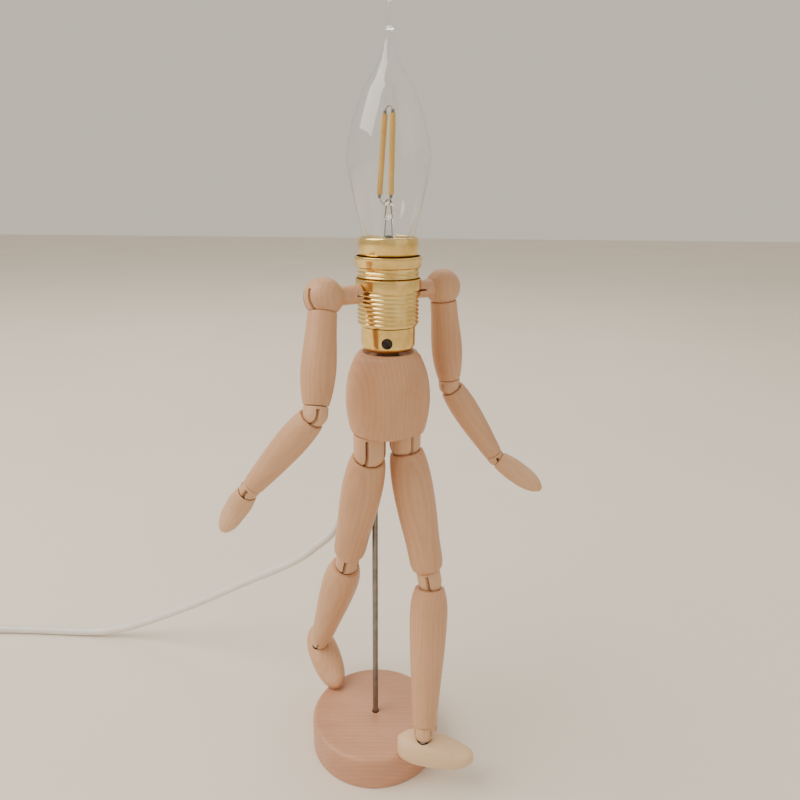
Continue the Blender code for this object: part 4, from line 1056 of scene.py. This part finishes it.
@dataclass(frozen=True)
class Foot:
    """Foot with a flat sole and a domed top that slopes to the toe."""

    ahead: float = 0.0258
    behind: float = 0.0137
    depth: float = 0.0148
    half_width: float = 0.0083
    left_heading: float = -10.0
    right_heading: float = -62.0
    right_roll: float = 15.0
    toe_touch: float = 0.0232
    toe_clearance: float = 0.0006

    def section(self, along: float) -> Point:
        """Half width and height at a share of the length from heel to toe."""
        middle = 0.46
        off = (middle - along) / middle if along < middle else (along - middle) / (1 - middle)
        power = 2.6 if along < middle else 2.1
        width = self.half_width * math.sqrt(max(0.0, 1 - off ** power)) + 0.0006
        height = self.depth - ANKLE.rim_depth
        height *= 1 - 0.60 * max(0.0, (along - 0.42) / 0.58) ** 1.2
        height *= min(1.0, 0.70 + 0.30 * math.sin(min(1.0, along / 0.16) * math.pi / 2))
        height *= 1 - 0.35 * max(0.0, (along - 0.9) / 0.1) ** 2
        return width, height

    def ring(self, along: float, points: int = 22) -> list[Vector]:
        """Outline of the foot's section at a share of its length."""
        width, height = self.section(along)
        toe_lift = 0.0016 * (max(0.0, along - 0.78) / 0.22) ** 2
        heel_lift = 0.0010 * max(0.0, 1 - along / 0.08)
        sole = toe_lift + heel_lift - self.depth
        low = sole + 0.2 * height
        y = (self.ahead + self.behind) * along - self.behind
        flat = [(width * 0.50, sole), (width * 0.78, sole), (width * 0.93, sole + 0.06 * height), (width, low)]
        top = []
        for k in range(1, points):
            turn = math.pi * k / points
            across = width * math.copysign(abs(math.cos(turn)) ** 0.8, math.cos(turn))
            top.append((across, low + (sole + height - low) * math.sin(turn) ** 0.66))
        whole = flat + top + [(-across, up) for across, up in reversed(flat)]
        return [Vector((across, y, up)) for across, up in whole]

    def frame(self, side: Side, ankle: Vector) -> Matrix:
        """Frame of the foot: Y to the toe, Z up from the sole, origin at the ankle's pin."""
        up = Vector((0, 0, 1))
        if side is Side.LEFT:
            turn = math.radians(self.left_heading)
            toe = Vector((math.cos(turn), math.sin(turn), 0))
            return frame_at(ankle, toe.cross(up), up)
        drop = ankle.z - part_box("base")[1][2] - self.toe_clearance
        reach = math.hypot(self.toe_touch, self.depth)
        pitch = math.asin(min(1.0, drop / reach)) - math.atan2(self.depth, self.toe_touch)
        matrix = Matrix.Rotation(math.radians(self.right_heading) - math.pi / 2, 4, "Z")
        matrix = matrix @ Matrix.Rotation(-pitch, 4, "X") @ Matrix.Rotation(math.radians(self.right_roll), 4, "Y")
        matrix.translation = ankle
        return matrix

    def make(self, name: str, matrix: Matrix, seat: Matrix) -> bpy.types.Object:
        """Shape the foot and bore the ankle's cup.

        Args:
            name: Its name.
            matrix: The foot's frame.
            seat: The ankle's frame.

        Returns:
            The foot, in its own frame.
        """
        shares = [0.0, .006, .02, .045, .08, .12, .16, .22, .3, .38, .45, .52, .6, .67, .74, .8, .86, .905, .94,
                  .966, .985, .996, 1.0]
        foot = loft_rings(name, [self.ring(share) for share in shares])
        mouth = -math.degrees(math.acos(ANKLE.bore / ANKLE.cup))
        top = ANKLE.cup + 0.008
        opening = [(0, top), (ANKLE.cup, top)] + arc_points((0, 0), ANKLE.cup, 0, mouth, 12)
        cutter = turn_profile("bore", opening + ANKLE.cup_profile()[-4:], 48)
        cut_with(foot, cutter, matrix.inverted() @ seat)
        return foot


def add_knuckle(limb: tuple[Side, int], knuckle: Knuckle, joint: str, twist: str, below: Vector) -> Matrix:
    """Add a block and give the frame that the limb below hangs in.

    Args:
        limb: Its side and its grain number.
        knuckle: Its sizes.
        joint: The part of the body, such as "knee".
        twist: The word for its turning joint.
        below: The way the limb below hangs.

    Returns:
        The frame below.
    """
    side = limb[0].value
    place = joint_place(f"{side}_{joint}_bend")
    pin = joint_axis(f"{side}_{joint}_bend")
    block = knuckle.make_block(f"{side}_{joint}_knuckle_block")
    record_grain(block, limb[1], 0.24)
    matrix = frame_at(place, pin, -joint_axis(f"{side}_{joint}_{twist}"))
    finish_piece(block, Finish.LIMB, f"{side}_{joint}_knuckle", [f"{side}_{joint}_block"], matrix)
    return frame_at(place, pin, -below)


@dataclass(frozen=True)
class Leg:
    """Hip, thigh, knee, shin, ankle and foot of one side."""

    side: Side
    index: int
    foot_tone: float

    def build(self) -> None:
        """Build the leg from hip to foot."""
        side = self.side.value
        thigh_aim = joint_axis(f"{side}_knee_twist")
        shin_aim = joint_axis(f"{side}_ankle_twist")
        hanging = add_knuckle((self.side, self.index + 1), HIP, "hip", "swivel", thigh_aim)
        thigh = THIGH.make(f"{side}_turned_thigh")
        record_grain(thigh, self.index + 2, 0.05)
        finish_piece(thigh, Finish.LIMB, f"{side}_thigh", [f"{side}_thigh"], hanging)
        hanging = add_knuckle((self.side, self.index + 3), KNEE, "knee", "twist", shin_aim)
        shin = SHIN.make(f"{side}_turned_shin")
        record_grain(shin, self.index + 4, 0.08)
        finish_piece(shin, Finish.LIMB, f"{side}_shin", [f"{side}_shin"], hanging)
        shape = Foot()
        ankle = joint_place(f"{side}_ankle_bend")
        pin = joint_axis(f"{side}_ankle_bend")
        matrix = shape.frame(self.side, ankle)
        down = matrix.to_3x3() @ Vector((0, 0, -1))
        below = (down - pin * down.dot(pin)).normalized()
        seat = add_knuckle((self.side, self.index + 5), ANKLE, "ankle", "twist", below)
        foot = shape.make(f"{side}_shaped_foot", matrix, seat)
        record_grain(foot, self.index + 6, self.foot_tone, "Y")
        finish_piece(foot, Finish.LIMB, f"{side}_foot", [f"{side}_foot"], matrix, 40)


@dataclass(frozen=True)
class Arm:
    """Shoulder ball, upper arm, elbow, forearm, wrist and hand of one side."""

    side: Side
    index: int
    hand_aim: Point
    tenon_radius: float = 0.0040

    def make_shoulder(self, name: str, matrix: Matrix, place: Vector, outward: Vector) -> bpy.types.Object:
        """Ball with a slit tenon towards the lampholder, sawn for the arm's fork.

        Args:
            name: Its name.
            matrix: The ball's frame.
            place: The ball's middle.
            outward: The way that the tenon doesn't point.

        Returns:
            The shoulder, in the ball's frame.
        """
        radius = SHOULDER.radius
        profile = [(0, radius)] + arc_points((0, 0), radius, 84, -84, 28) + [(0, -radius)]
        ball = turn_profile(name, profile, 48)
        axis = PowerCord().axis
        ring = (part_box("shade_ring_lower")[1][0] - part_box("shade_ring_lower")[0][0]) / 2
        near = (Vector((place.x, place.y)) - Vector((axis.x, FIGURE_Y))).length - ring - GAP
        low, edge, r = radius * 0.55, 0.0005, self.tenon_radius
        stem = [(0, low), (r + 0.0006, low), (r + 0.0001, low + 0.0012), (r, near - edge - 0.001)]
        stem += arc_points((r - edge, near - edge), edge, 0, 90, 4) + [(0, near)]
        dowel = turn_profile("tenon", stem, 40)
        into = matrix.inverted()
        cut_with(ball, dowel, into @ turned_frame(place, -outward), "UNION")
        slit = add_block("slit", (-0.0005, -0.006, near - 0.0034), (0.0005, 0.006, near + 0.001))
        cut_with(ball, slit, into @ frame_at(place, Vector((0, 0, 1)), -outward))
        SHOULDER.saw(ball, 0.0042, 0.0019)
        return ball

    def build(self) -> None:
        """Build the arm from shoulder to hand."""
        side = self.side.value
        place = joint_place(f"{side}_shoulder_raise")
        outward = joint_axis(f"{side}_shoulder_swing")
        arm_aim = joint_axis(f"{side}_elbow_twist")
        forearm_aim = joint_axis(f"{side}_wrist_twist")
        hanging = frame_at(place, joint_axis(f"{side}_shoulder_raise"), -arm_aim)
        ball = self.make_shoulder(f"{side}_slit_shoulder", hanging, place, outward)
        record_grain(ball, self.index + 1, 0.10)
        finish_piece(ball, Finish.LIMB, f"{side}_shoulder", [f"{side}_shoulder_ball"], hanging)
        upper = UPPER_ARM.make(f"{side}_turned_upper_arm")
        record_grain(upper, self.index + 2, 0.04)
        finish_piece(upper, Finish.LIMB, f"{side}_upper_arm", [f"{side}_upper_arm"], hanging)
        hanging = add_knuckle((self.side, self.index + 3), ELBOW, "elbow", "twist", forearm_aim)
        forearm = FOREARM.make(f"{side}_turned_forearm")
        record_grain(forearm, self.index + 4, 0.10)
        finish_piece(forearm, Finish.LIMB, f"{side}_forearm", [f"{side}_forearm"], hanging)
        palm = heading_vector(*self.hand_aim)
        hanging = add_knuckle((self.side, self.index + 5), WRIST, "wrist", "twist", palm)
        hand = Hand().make(f"{side}_paddle_hand")
        record_grain(hand, self.index + 6, 0.30)
        finish_piece(hand, Finish.LIMB, f"{side}_hand", [f"{side}_hand"], hanging)


# ------------------------------------------------------------------ base, rod and pelvis

@dataclass(frozen=True)
class Stand:
    """Turned round base and the steel rod that carries the figure."""

    edge: float = 0.0026
    foot_edge: float = 0.0008
    rod_radius: float = 0.0015

    def build(self) -> None:
        """Build the base and the rod."""
        radius = (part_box("base")[1][0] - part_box("base")[0][0]) / 2
        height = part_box("base")[1][2]
        low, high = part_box("rod")[0][2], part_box("rod")[1][2]
        bore = self.rod_radius + GAP
        profile = [(0, 0)] + arc_points((radius - self.foot_edge, self.foot_edge), self.foot_edge, -90, 0, 4)
        profile += arc_points((radius - self.edge, height - self.edge), self.edge, 0, 90, 10)
        profile += [(bore + 0.0003, height), (bore, height - 0.0003), (bore, low - GAP), (0, low - GAP)]
        base = turn_profile("turned_base", profile, 96)
        record_grain(base, 1, 0.0, "X")
        finish_piece(base, Finish.BASE, ROOT, ["base"])
        r, edge = self.rod_radius, 0.0003
        rod = turn_profile("steel_rod", [(0, low), (r - edge, low), (r, low + edge), (r, high - edge),
                                         (r - edge, high), (0, high)], 32)
        finish_piece(rod, Finish.STEEL, ROOT, ["rod"])


@dataclass(frozen=True)
class Pelvis:
    """Barrel-shaped pelvis with a dished top and a flat belly."""

    stations: tuple[Point, ...] = ((0, .0173), (.22, .0189), (.45, .0194), (.7, .0182), (.9, .0155), (1, .0135))
    belly_flat: float = 0.0150
    belly_lean: float = 7.0
    dish_radius: float = 0.0113
    dish_depth: float = 0.0022
    nipple_radius: float = 0.0049
    nipple_depth: float = 0.012

    def build(self) -> None:
        """Turn, flatten and drill the pelvis."""
        low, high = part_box("pelvis")[0][2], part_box("pelvis")[1][2]
        height = high - low
        foot, top = self.stations[0][1], self.stations[-1][1]
        side = [(radius, share * height) for share, radius in smooth_outline(self.stations, 36)]
        profile = [(0, 0)] + arc_points((foot - 0.0009, 0.0009), 0.0009, -90, 0, 4)
        profile += [p for p in side if 0.0012 < p[1] < height - 0.0012]
        profile += arc_points((top - 0.0009, height - 0.0009), 0.0009, 0, 90, 4)
        dish = height - self.dish_depth
        profile += [(self.dish_radius + 0.0003, height), (self.dish_radius, height - 0.0002)]
        profile += [(self.dish_radius - self.dish_depth, dish), (0, dish)]
        pelvis = turn_profile("turned_pelvis", profile, 72)
        outward = joint_axis("left_shoulder_swing")
        front = frame_at(Vector((0, 0, 0)), outward, Vector((0, 0, 1)))
        plane = add_block("plane", (-0.03, -0.03, -0.02), (0.03, -self.belly_flat, 0.06))
        cut_with(pelvis, plane, front @ Matrix.Rotation(math.radians(self.belly_lean), 4, "X"))
        cord = PowerCord()
        axis = Vector((FIGURE_X, FIGURE_Y, low))
        drill = add_drill("drill", 0.0018, -0.001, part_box("rod")[1][2] - low + GAP)
        cut_with(pelvis, drill, Matrix.Translation((-axis.x, -axis.y, 0)))
        seat = dish - self.nipple_depth - GAP
        cut_with(pelvis, add_drill("drill", self.nipple_radius + GAP, seat, height + 0.001, 32))
        way = add_drill("drill", cord.radius + 0.0008, 0, 0.03, 32)
        cut_with(pelvis, way, turned_frame(Vector((0, 0, cord.axis.z - low)), cord.aim))
        record_grain(pelvis, 3, 0.0)
        finish_piece(pelvis, Finish.LIMB, ROOT, ["pelvis"], Matrix.Translation(axis), 13)


# ------------------------------------------------------------------ lampholder

@dataclass(frozen=True)
class Lampholder:
    """Threaded brass lampholder with two shade rings."""

    cap_radius: float = 0.0121
    cap_height: float = 0.0112
    dome: float = 0.0035
    wall: float = 0.0009
    skirt_radius: float = 0.0136
    skirt_height: float = 0.0380
    thread_depth: float = 0.0005
    pitch: float = 0.0018
    collar_height: float = 0.0114
    collar_radius: float = 0.0130
    mouth: float = 0.0108
    lock_radius: float = 0.0021
    lock_rise: float = 0.0050

    def place(self, rise: float = 0.0) -> Matrix:
        """Matrix at a height over the lampholder's underside."""
        return Matrix.Translation((FIGURE_X, FIGURE_Y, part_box("lampholder_cap")[0][2] + rise))

    def lock_frame(self) -> Matrix:
        """Frame of the locking screw, in the lampholder's own frame."""
        return turned_frame(Vector((0, 0, self.lock_rise)), Vector((-0.02, -1, 0)).normalized())

    def add_cap(self) -> None:
        """Domed cap with the screw's hole."""
        r, dome, wall, hole = self.cap_radius, self.dome, self.wall, 0.0052
        centre = (r - dome, dome)
        edge = 0.0003
        profile = [(hole, 0), (r - dome, 0)] + arc_points(centre, dome, -84, 0, 12)
        profile += [(r, self.cap_height - edge), (r - edge, self.cap_height), (r - wall, self.cap_height)]
        profile += arc_points(centre, dome - wall, 0, -90, 8) + [(hole, wall)]
        cap = turn_profile("holder_cap", profile, 72, closed=True)
        cut_with(cap, add_drill("drill", self.lock_radius + GAP, 0.007, 0.03, 32), self.lock_frame())
        finish_piece(cap, Finish.BRASS, ROOT, ["lampholder_cap"], self.place())

    def add_lock_screw(self) -> None:
        """Blackened screw with a slot."""
        inner, outer = self.cap_radius - self.wall - 0.0004, self.cap_radius + 0.0006
        r, edge = self.lock_radius, 0.0003
        profile = [(0, inner), (r, inner), (r, outer - edge)]
        profile += arc_points((r - edge, outer - edge), edge, 0, 90, 3)
        screw = turn_profile("lock_screw", profile + [(0, outer)], 32)
        slot = add_block("slot", (-0.00028, -0.003, outer - 0.0007), (0.00028, 0.003, outer + 0.001))
        cut_with(screw, slot, Matrix.Rotation(0.5, 4, "Z"))
        finish_piece(screw, Finish.BLACK_STEEL, ROOT, ["cap_lock_screw"], self.place() @ self.lock_frame())

    def thread(self, low: float, high: float) -> list[Point]:
        """Rounded thread ridges between two heights."""
        count = max(1, round((high - low) / self.pitch))
        pitch = (high - low) / count
        root, crest = self.skirt_radius - self.thread_depth, self.skirt_radius
        points = []
        for k in range(count):
            for share, rise in ((.06, 0.0), (.22, .12), (.38, .80), (.5, 1.0), (.62, .80), (.78, .12)):
                points.append((root + (crest - root) * rise, low + (k + share) * pitch))
        return points

    def add_skirt(self) -> None:
        """Threaded skirt with a smooth collar and a rolled mouth."""
        low = self.cap_height + GAP
        top = self.cap_height + self.skirt_height
        collar = top - self.collar_height
        root = self.skirt_radius - self.thread_depth
        bore = root - self.wall
        c = self.collar_radius
        profile = [(bore, low), (root - 0.0002, low)] + self.thread(low + 0.0004, collar - 0.0006)
        profile += [(root, collar - 0.0003), (c - 0.0001, collar), (c, collar + 0.0002)]
        groove = collar + 0.0030
        profile += [(c, groove - .0003), (c - .00025, groove), (c, groove + .0003)]
        profile += arc_points((c - 0.0010, top - 0.0010), 0.0010, 0, 90, 6)
        profile += [(self.mouth + 0.0009, top), (self.mouth + 0.0007, top - 0.0003), (bore, top - 0.003)]
        skirt = turn_profile("holder_skirt", profile, 96, closed=True)
        finish_piece(skirt, Finish.BRASS, ROOT, ["lampholder_skirt"], self.place(), 50)

    def add_ring(self, node: str, name: str, flare: float) -> None:
        """Shade ring with a rolled rim.

        Args:
            node: The CAD node it stands for.
            name: Its name.
            flare: How much smaller its foot is than its rim.
        """
        low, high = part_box(node)
        radius, height = (high[0] - low[0]) / 2, high[2] - low[2]
        bore = self.skirt_radius + GAP
        wall = radius - bore
        edge, flare = min(0.0006, 0.35 * wall), min(flare, 0.4 * wall)
        profile = [(bore, 0)] + arc_points((radius - flare - edge, edge), edge, -90, 0, 5)
        profile += [(radius - flare, height * 0.45), (radius - flare * 0.3, height * 0.62)]
        profile += arc_points((radius - edge, height - edge), edge, 0, 90, 5) + [(bore, height)]
        ring = turn_profile(name, profile, 96, closed=True)
        finish_piece(ring, Finish.BRASS, ROOT, [node], Matrix.Translation((FIGURE_X, FIGURE_Y, low[2])), 50)

    def add_spring(self) -> None:
        """Fine tension spring round the back, between the arms' tenons."""
        wire, coil = 0.00022, 0.00078
        path = self.skirt_radius + GAP + 0.0014
        clear = math.degrees(math.asin((0.0040 + 0.0010 + GAP) / path)) + 2
        turns, steps = 64, 10
        data = bpy.data.curves.new("tenon_spring", "CURVE")
        data.dimensions = "3D"
        data.bevel_depth = wire
        data.bevel_resolution = 1
        data.use_fill_caps = True
        spline = data.splines.new("POLY")
        count = turns * steps
        spline.points.add(count)
        for k, point in enumerate(spline.points):
            turn = math.radians(clear + (180 - 2 * clear) * k / count)
            wind = math.tau * k / steps
            reach = path + coil * math.cos(wind)
            point.co = (reach * math.cos(turn), reach * math.sin(turn), coil * math.sin(wind), 1)
        spring = bpy.data.objects.new("tenon_spring", data)
        bpy.context.scene.collection.objects.link(spring)
        activate(spring)
        bpy.ops.object.convert(target="MESH")
        spring = bpy.context.object
        low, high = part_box("shoulder_spring")
        front = frame_at(Vector((FIGURE_X, FIGURE_Y, (low[2] + high[2]) / 2)), joint_axis("left_shoulder_swing"),
                         Vector((0, 0, 1)))
        finish_piece(spring, Finish.STEEL, ROOT, ["shoulder_spring"], front, 60)

    def build(self) -> None:
        """Build the lampholder."""
        self.add_cap()
        self.add_lock_screw()
        self.add_skirt()
        self.add_ring("shade_ring_lower", "lower_shade_ring", 0.0)
        self.add_ring("shade_ring_upper", "upper_shade_ring", 0.0004)
        self.add_spring()


# ------------------------------------------------------------------ bulb

@dataclass(frozen=True)
class CandleBulb:
    """Clear flame-tip bulb with two light sticks on a glass stem."""

    seat: float = -0.004
    tip: float = 0.0880
    wall: float = 0.0007
    stations: tuple[Point, ...] = ((0, .0108), (.10, .0122), (.22, .0150), (.375, .0175), (.46, .0167),
                                   (.54, .0149), (.62, .0123), (.67, .0103), (.72, .0073), (.77, .0047),
                                   (.83, .0028), (.91, .0019), (1, .0012))
    cap_radius: float = 0.0066
    stick_radius: float = 0.0012
    stick_length: float = 0.034
    stick_rise: float = 0.0158

    def rim(self) -> Matrix:
        """Matrix at the lampholder's rim."""
        return Matrix.Translation((FIGURE_X, FIGURE_Y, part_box("lampholder_skirt")[1][2]))

    def add_glass(self) -> None:
        """Blown envelope, hollow, drawn out to a tip."""
        span = self.tip - self.seat
        outer = [(radius, self.seat + share * span) for share, radius in smooth_outline(self.stations, 72)]
        inner = [(radius - self.wall, height) for radius, height in outer if radius > self.wall + 0.0012]
        crown = inner[-1][1] + self.wall
        tip = [(0, self.tip + 0.0006), (0.0006, self.tip + 0.0005), (0.0010, self.tip + 0.0002)]
        profile = tip + outer[::-1] + inner + [(0, crown)]
        glass = turn_profile("blown_glass", profile, 96)
        finish_piece(glass, Finish.GLASS, "bulb", ["bulb_glass"], self.rim(), 60)

    def add_cap(self) -> None:
        """Screw cap with its insulator and end contact."""
        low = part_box("bulb_cap")[0][2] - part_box("lampholder_skirt")[1][2]
        r = self.cap_radius
        profile = [(0, low), (0.0024, low), (0.0030, low + 0.0010), (r - 0.0016, low + 0.0032)]
        count, start, stop = 6, low + 0.0040, low + 0.0190
        for k in range(count):
            for share, rise in ((.05, 0.0), (.3, .6), (.5, 1.0), (.7, .6), (.95, 0.0)):
                profile.append((r - 0.0006 * (1 - rise), start + (stop - start) * (k + share) / count))
        top = self.seat - 0.0008
        profile += [(r - 0.0004, low + 0.0205), (0.0086, top), (0, top)]
        cap = turn_profile("screw_cap", profile, 64)
        finish_piece(cap, Finish.BRASS, "bulb", ["bulb_cap"], self.rim(), 50)

    def add_stem(self) -> None:
        """Drawn glass stem with a pinched top."""
        low = self.seat - 0.0005
        stations = ((0, .0058), (.10, .0044), (.22, .0032), (.45, .0027), (.60, .0021), (.72, .0017), (.84, .0024),
                    (.95, .0014), (1, .0005))
        span = 0.0155 - low
        outer = [(radius, low + share * span) for share, radius in smooth_outline(stations, 32)]
        inner = [(radius - 0.0006, height) for radius, height in outer if height < low + 0.62 * span]
        profile = outer + [(0, 0.0155), (0, inner[-1][1] + 0.0008)] + inner[::-1]
        stem = turn_profile("glass_stem", profile, 40, closed=True)
        finish_piece(stem, Finish.GLASS, "bulb", ["bulb_stem"], self.rim(), 60)

    def stick_frame(self, shift: float, lean: float) -> Matrix:
        """Frame of a light stick."""
        place = self.rim() @ Matrix.Translation((shift, -0.6 * shift, 0))
        return place @ Matrix.Rotation(math.radians(lean), 4, "Y")

    def add_sticks(self) -> None:
        """Light sticks with metal ends, and the wires that hold them."""
        low, high = self.stick_rise, self.stick_rise + self.stick_length
        r, end = self.stick_radius, 0.0013
        for name, node, shift, lean in (("front_light_stick", "filament_front", 0.0007, 1.0),
                                        ("back_light_stick", "filament_back", -0.0051, 4.0)):
            matrix = self.stick_frame(shift, lean)
            profile = [(0, low + end)] + arc_points((r - 0.0003, low + end + 0.0003), 0.0003, -90, 0, 3)
            profile += arc_points((r - 0.0003, high - end - 0.0003), 0.0003, 0, 90, 3) + [(0, high - end)]
            stick = turn_profile(name, profile, 20)
            finish_piece(stick, Finish.PHOSPHOR, "bulb", [node], matrix)
            for tag, start in (("foot", low), ("head", high - end)):
                profile = [(0, start), (0.0006, start), (0.0007, start + 0.0001), (0.0007, start + end),
                           (0, start + end)]
                clip = turn_profile(f"{name}_{tag}", profile, 16)
                finish_piece(clip, Finish.STEEL, "bulb", [], matrix)
            start = matrix @ Vector((0, 0, low + 0.0001))
            stem = self.rim() @ Vector((0.2 * shift, -0.12 * shift, 0.0128))
            self.add_wire(f"{name}_lead", (stem, (stem + start) / 2 + Vector((0.15 * shift, 0, -0.0006)), start))
        tops = ((0.0007, 1.0), (-0.0051, 4.0))
        ends = [self.stick_frame(*side) @ Vector((0, 0, high - 0.0001)) for side in tops]
        arch = (ends[0] + ends[1]) / 2 + Vector((0, 0, 0.0018))
        self.add_wire("stick_bridge", (ends[0], ends[0].lerp(arch, 0.6) + Vector((0.0003, 0, 0.0003)), arch,
                                       ends[1].lerp(arch, 0.6) + Vector((-0.0003, 0, 0.0003)), ends[1]))
        for tag, x in (("left", -0.0017), ("right", 0.0017)):
            foot = self.rim() @ Vector((x, 0, self.seat))
            mid = self.rim() @ Vector((x * 0.95, 0, 0.004))
            top = self.rim() @ Vector((x * 0.4, 0, 0.0126))
            self.add_wire(f"supply_wire_{tag}", (foot, mid, top))

    def add_wire(self, name: str, points: Sequence[Vector]) -> None:
        """Bend a thin steel wire through points.

        Args:
            name: Its name.
            points: Points of its middle line.
        """
        data = bpy.data.curves.new(name, "CURVE")
        data.dimensions = "3D"
        data.bevel_depth = 0.00022
        data.bevel_resolution = 2
        data.use_fill_caps = True
        spline = data.splines.new("NURBS")
        spline.points.add(len(points) - 1)
        for knot, point in zip(spline.points, points):
            knot.co = (*point, 1)
        spline.order_u = 3
        spline.use_endpoint_u = True
        wire = bpy.data.objects.new(name, data)
        bpy.context.scene.collection.objects.link(wire)
        activate(wire)
        bpy.ops.object.convert(target="MESH")
        finish_piece(bpy.context.object, Finish.STEEL, "bulb", [], None, 60)

    def build(self) -> None:
        """Build the bulb."""
        self.add_glass()
        self.add_cap()
        self.add_stem()
        self.add_sticks()


# ------------------------------------------------------------------ hidden hardware

@dataclass(frozen=True)
class Hardware:
    """Small metal and porcelain parts that keep their CAD shape."""

    steel: tuple[str, ...] = ("nipple",)
    brass: tuple[str, ...] = ("screw_shell", "centre_contact")
    porcelain: tuple[str, ...] = ("lampholder_insert",)

    def dress(self) -> None:
        """Give each of them its finish."""
        forks = [name for name in frame["nodes"] if name.endswith("_fork")]
        for names, finish in ((forks, Finish.STEEL), (self.steel, Finish.STEEL), (self.brass, Finish.BRASS),
                              (self.porcelain, Finish.PORCELAIN)):
            for name in names:
                frame["nodes"][name].material_slots[0].material = material_of(finish)
                LOG.info("%s: %s", name, finish.value)


def main() -> None:
    """Build the stage, the cord and then every piece of the lamp."""
    logging.basicConfig(level=logging.INFO, format="%(name)s: %(message)s")
    Stage().build()
    PowerCord().build()
    Stand().build()
    Pelvis().build()
    Leg(Side.RIGHT, 10, 0.05).build()
    Leg(Side.LEFT, 20, 0.70).build()
    Arm(Side.RIGHT, 30, (159.0, 35.6)).build()
    Arm(Side.LEFT, 40, (-20.0, 60.0)).build()
    Lampholder().build()
    CandleBulb().build()
    Hardware().dress()
    deselect_all()


if __name__ == "__main__":
    main()
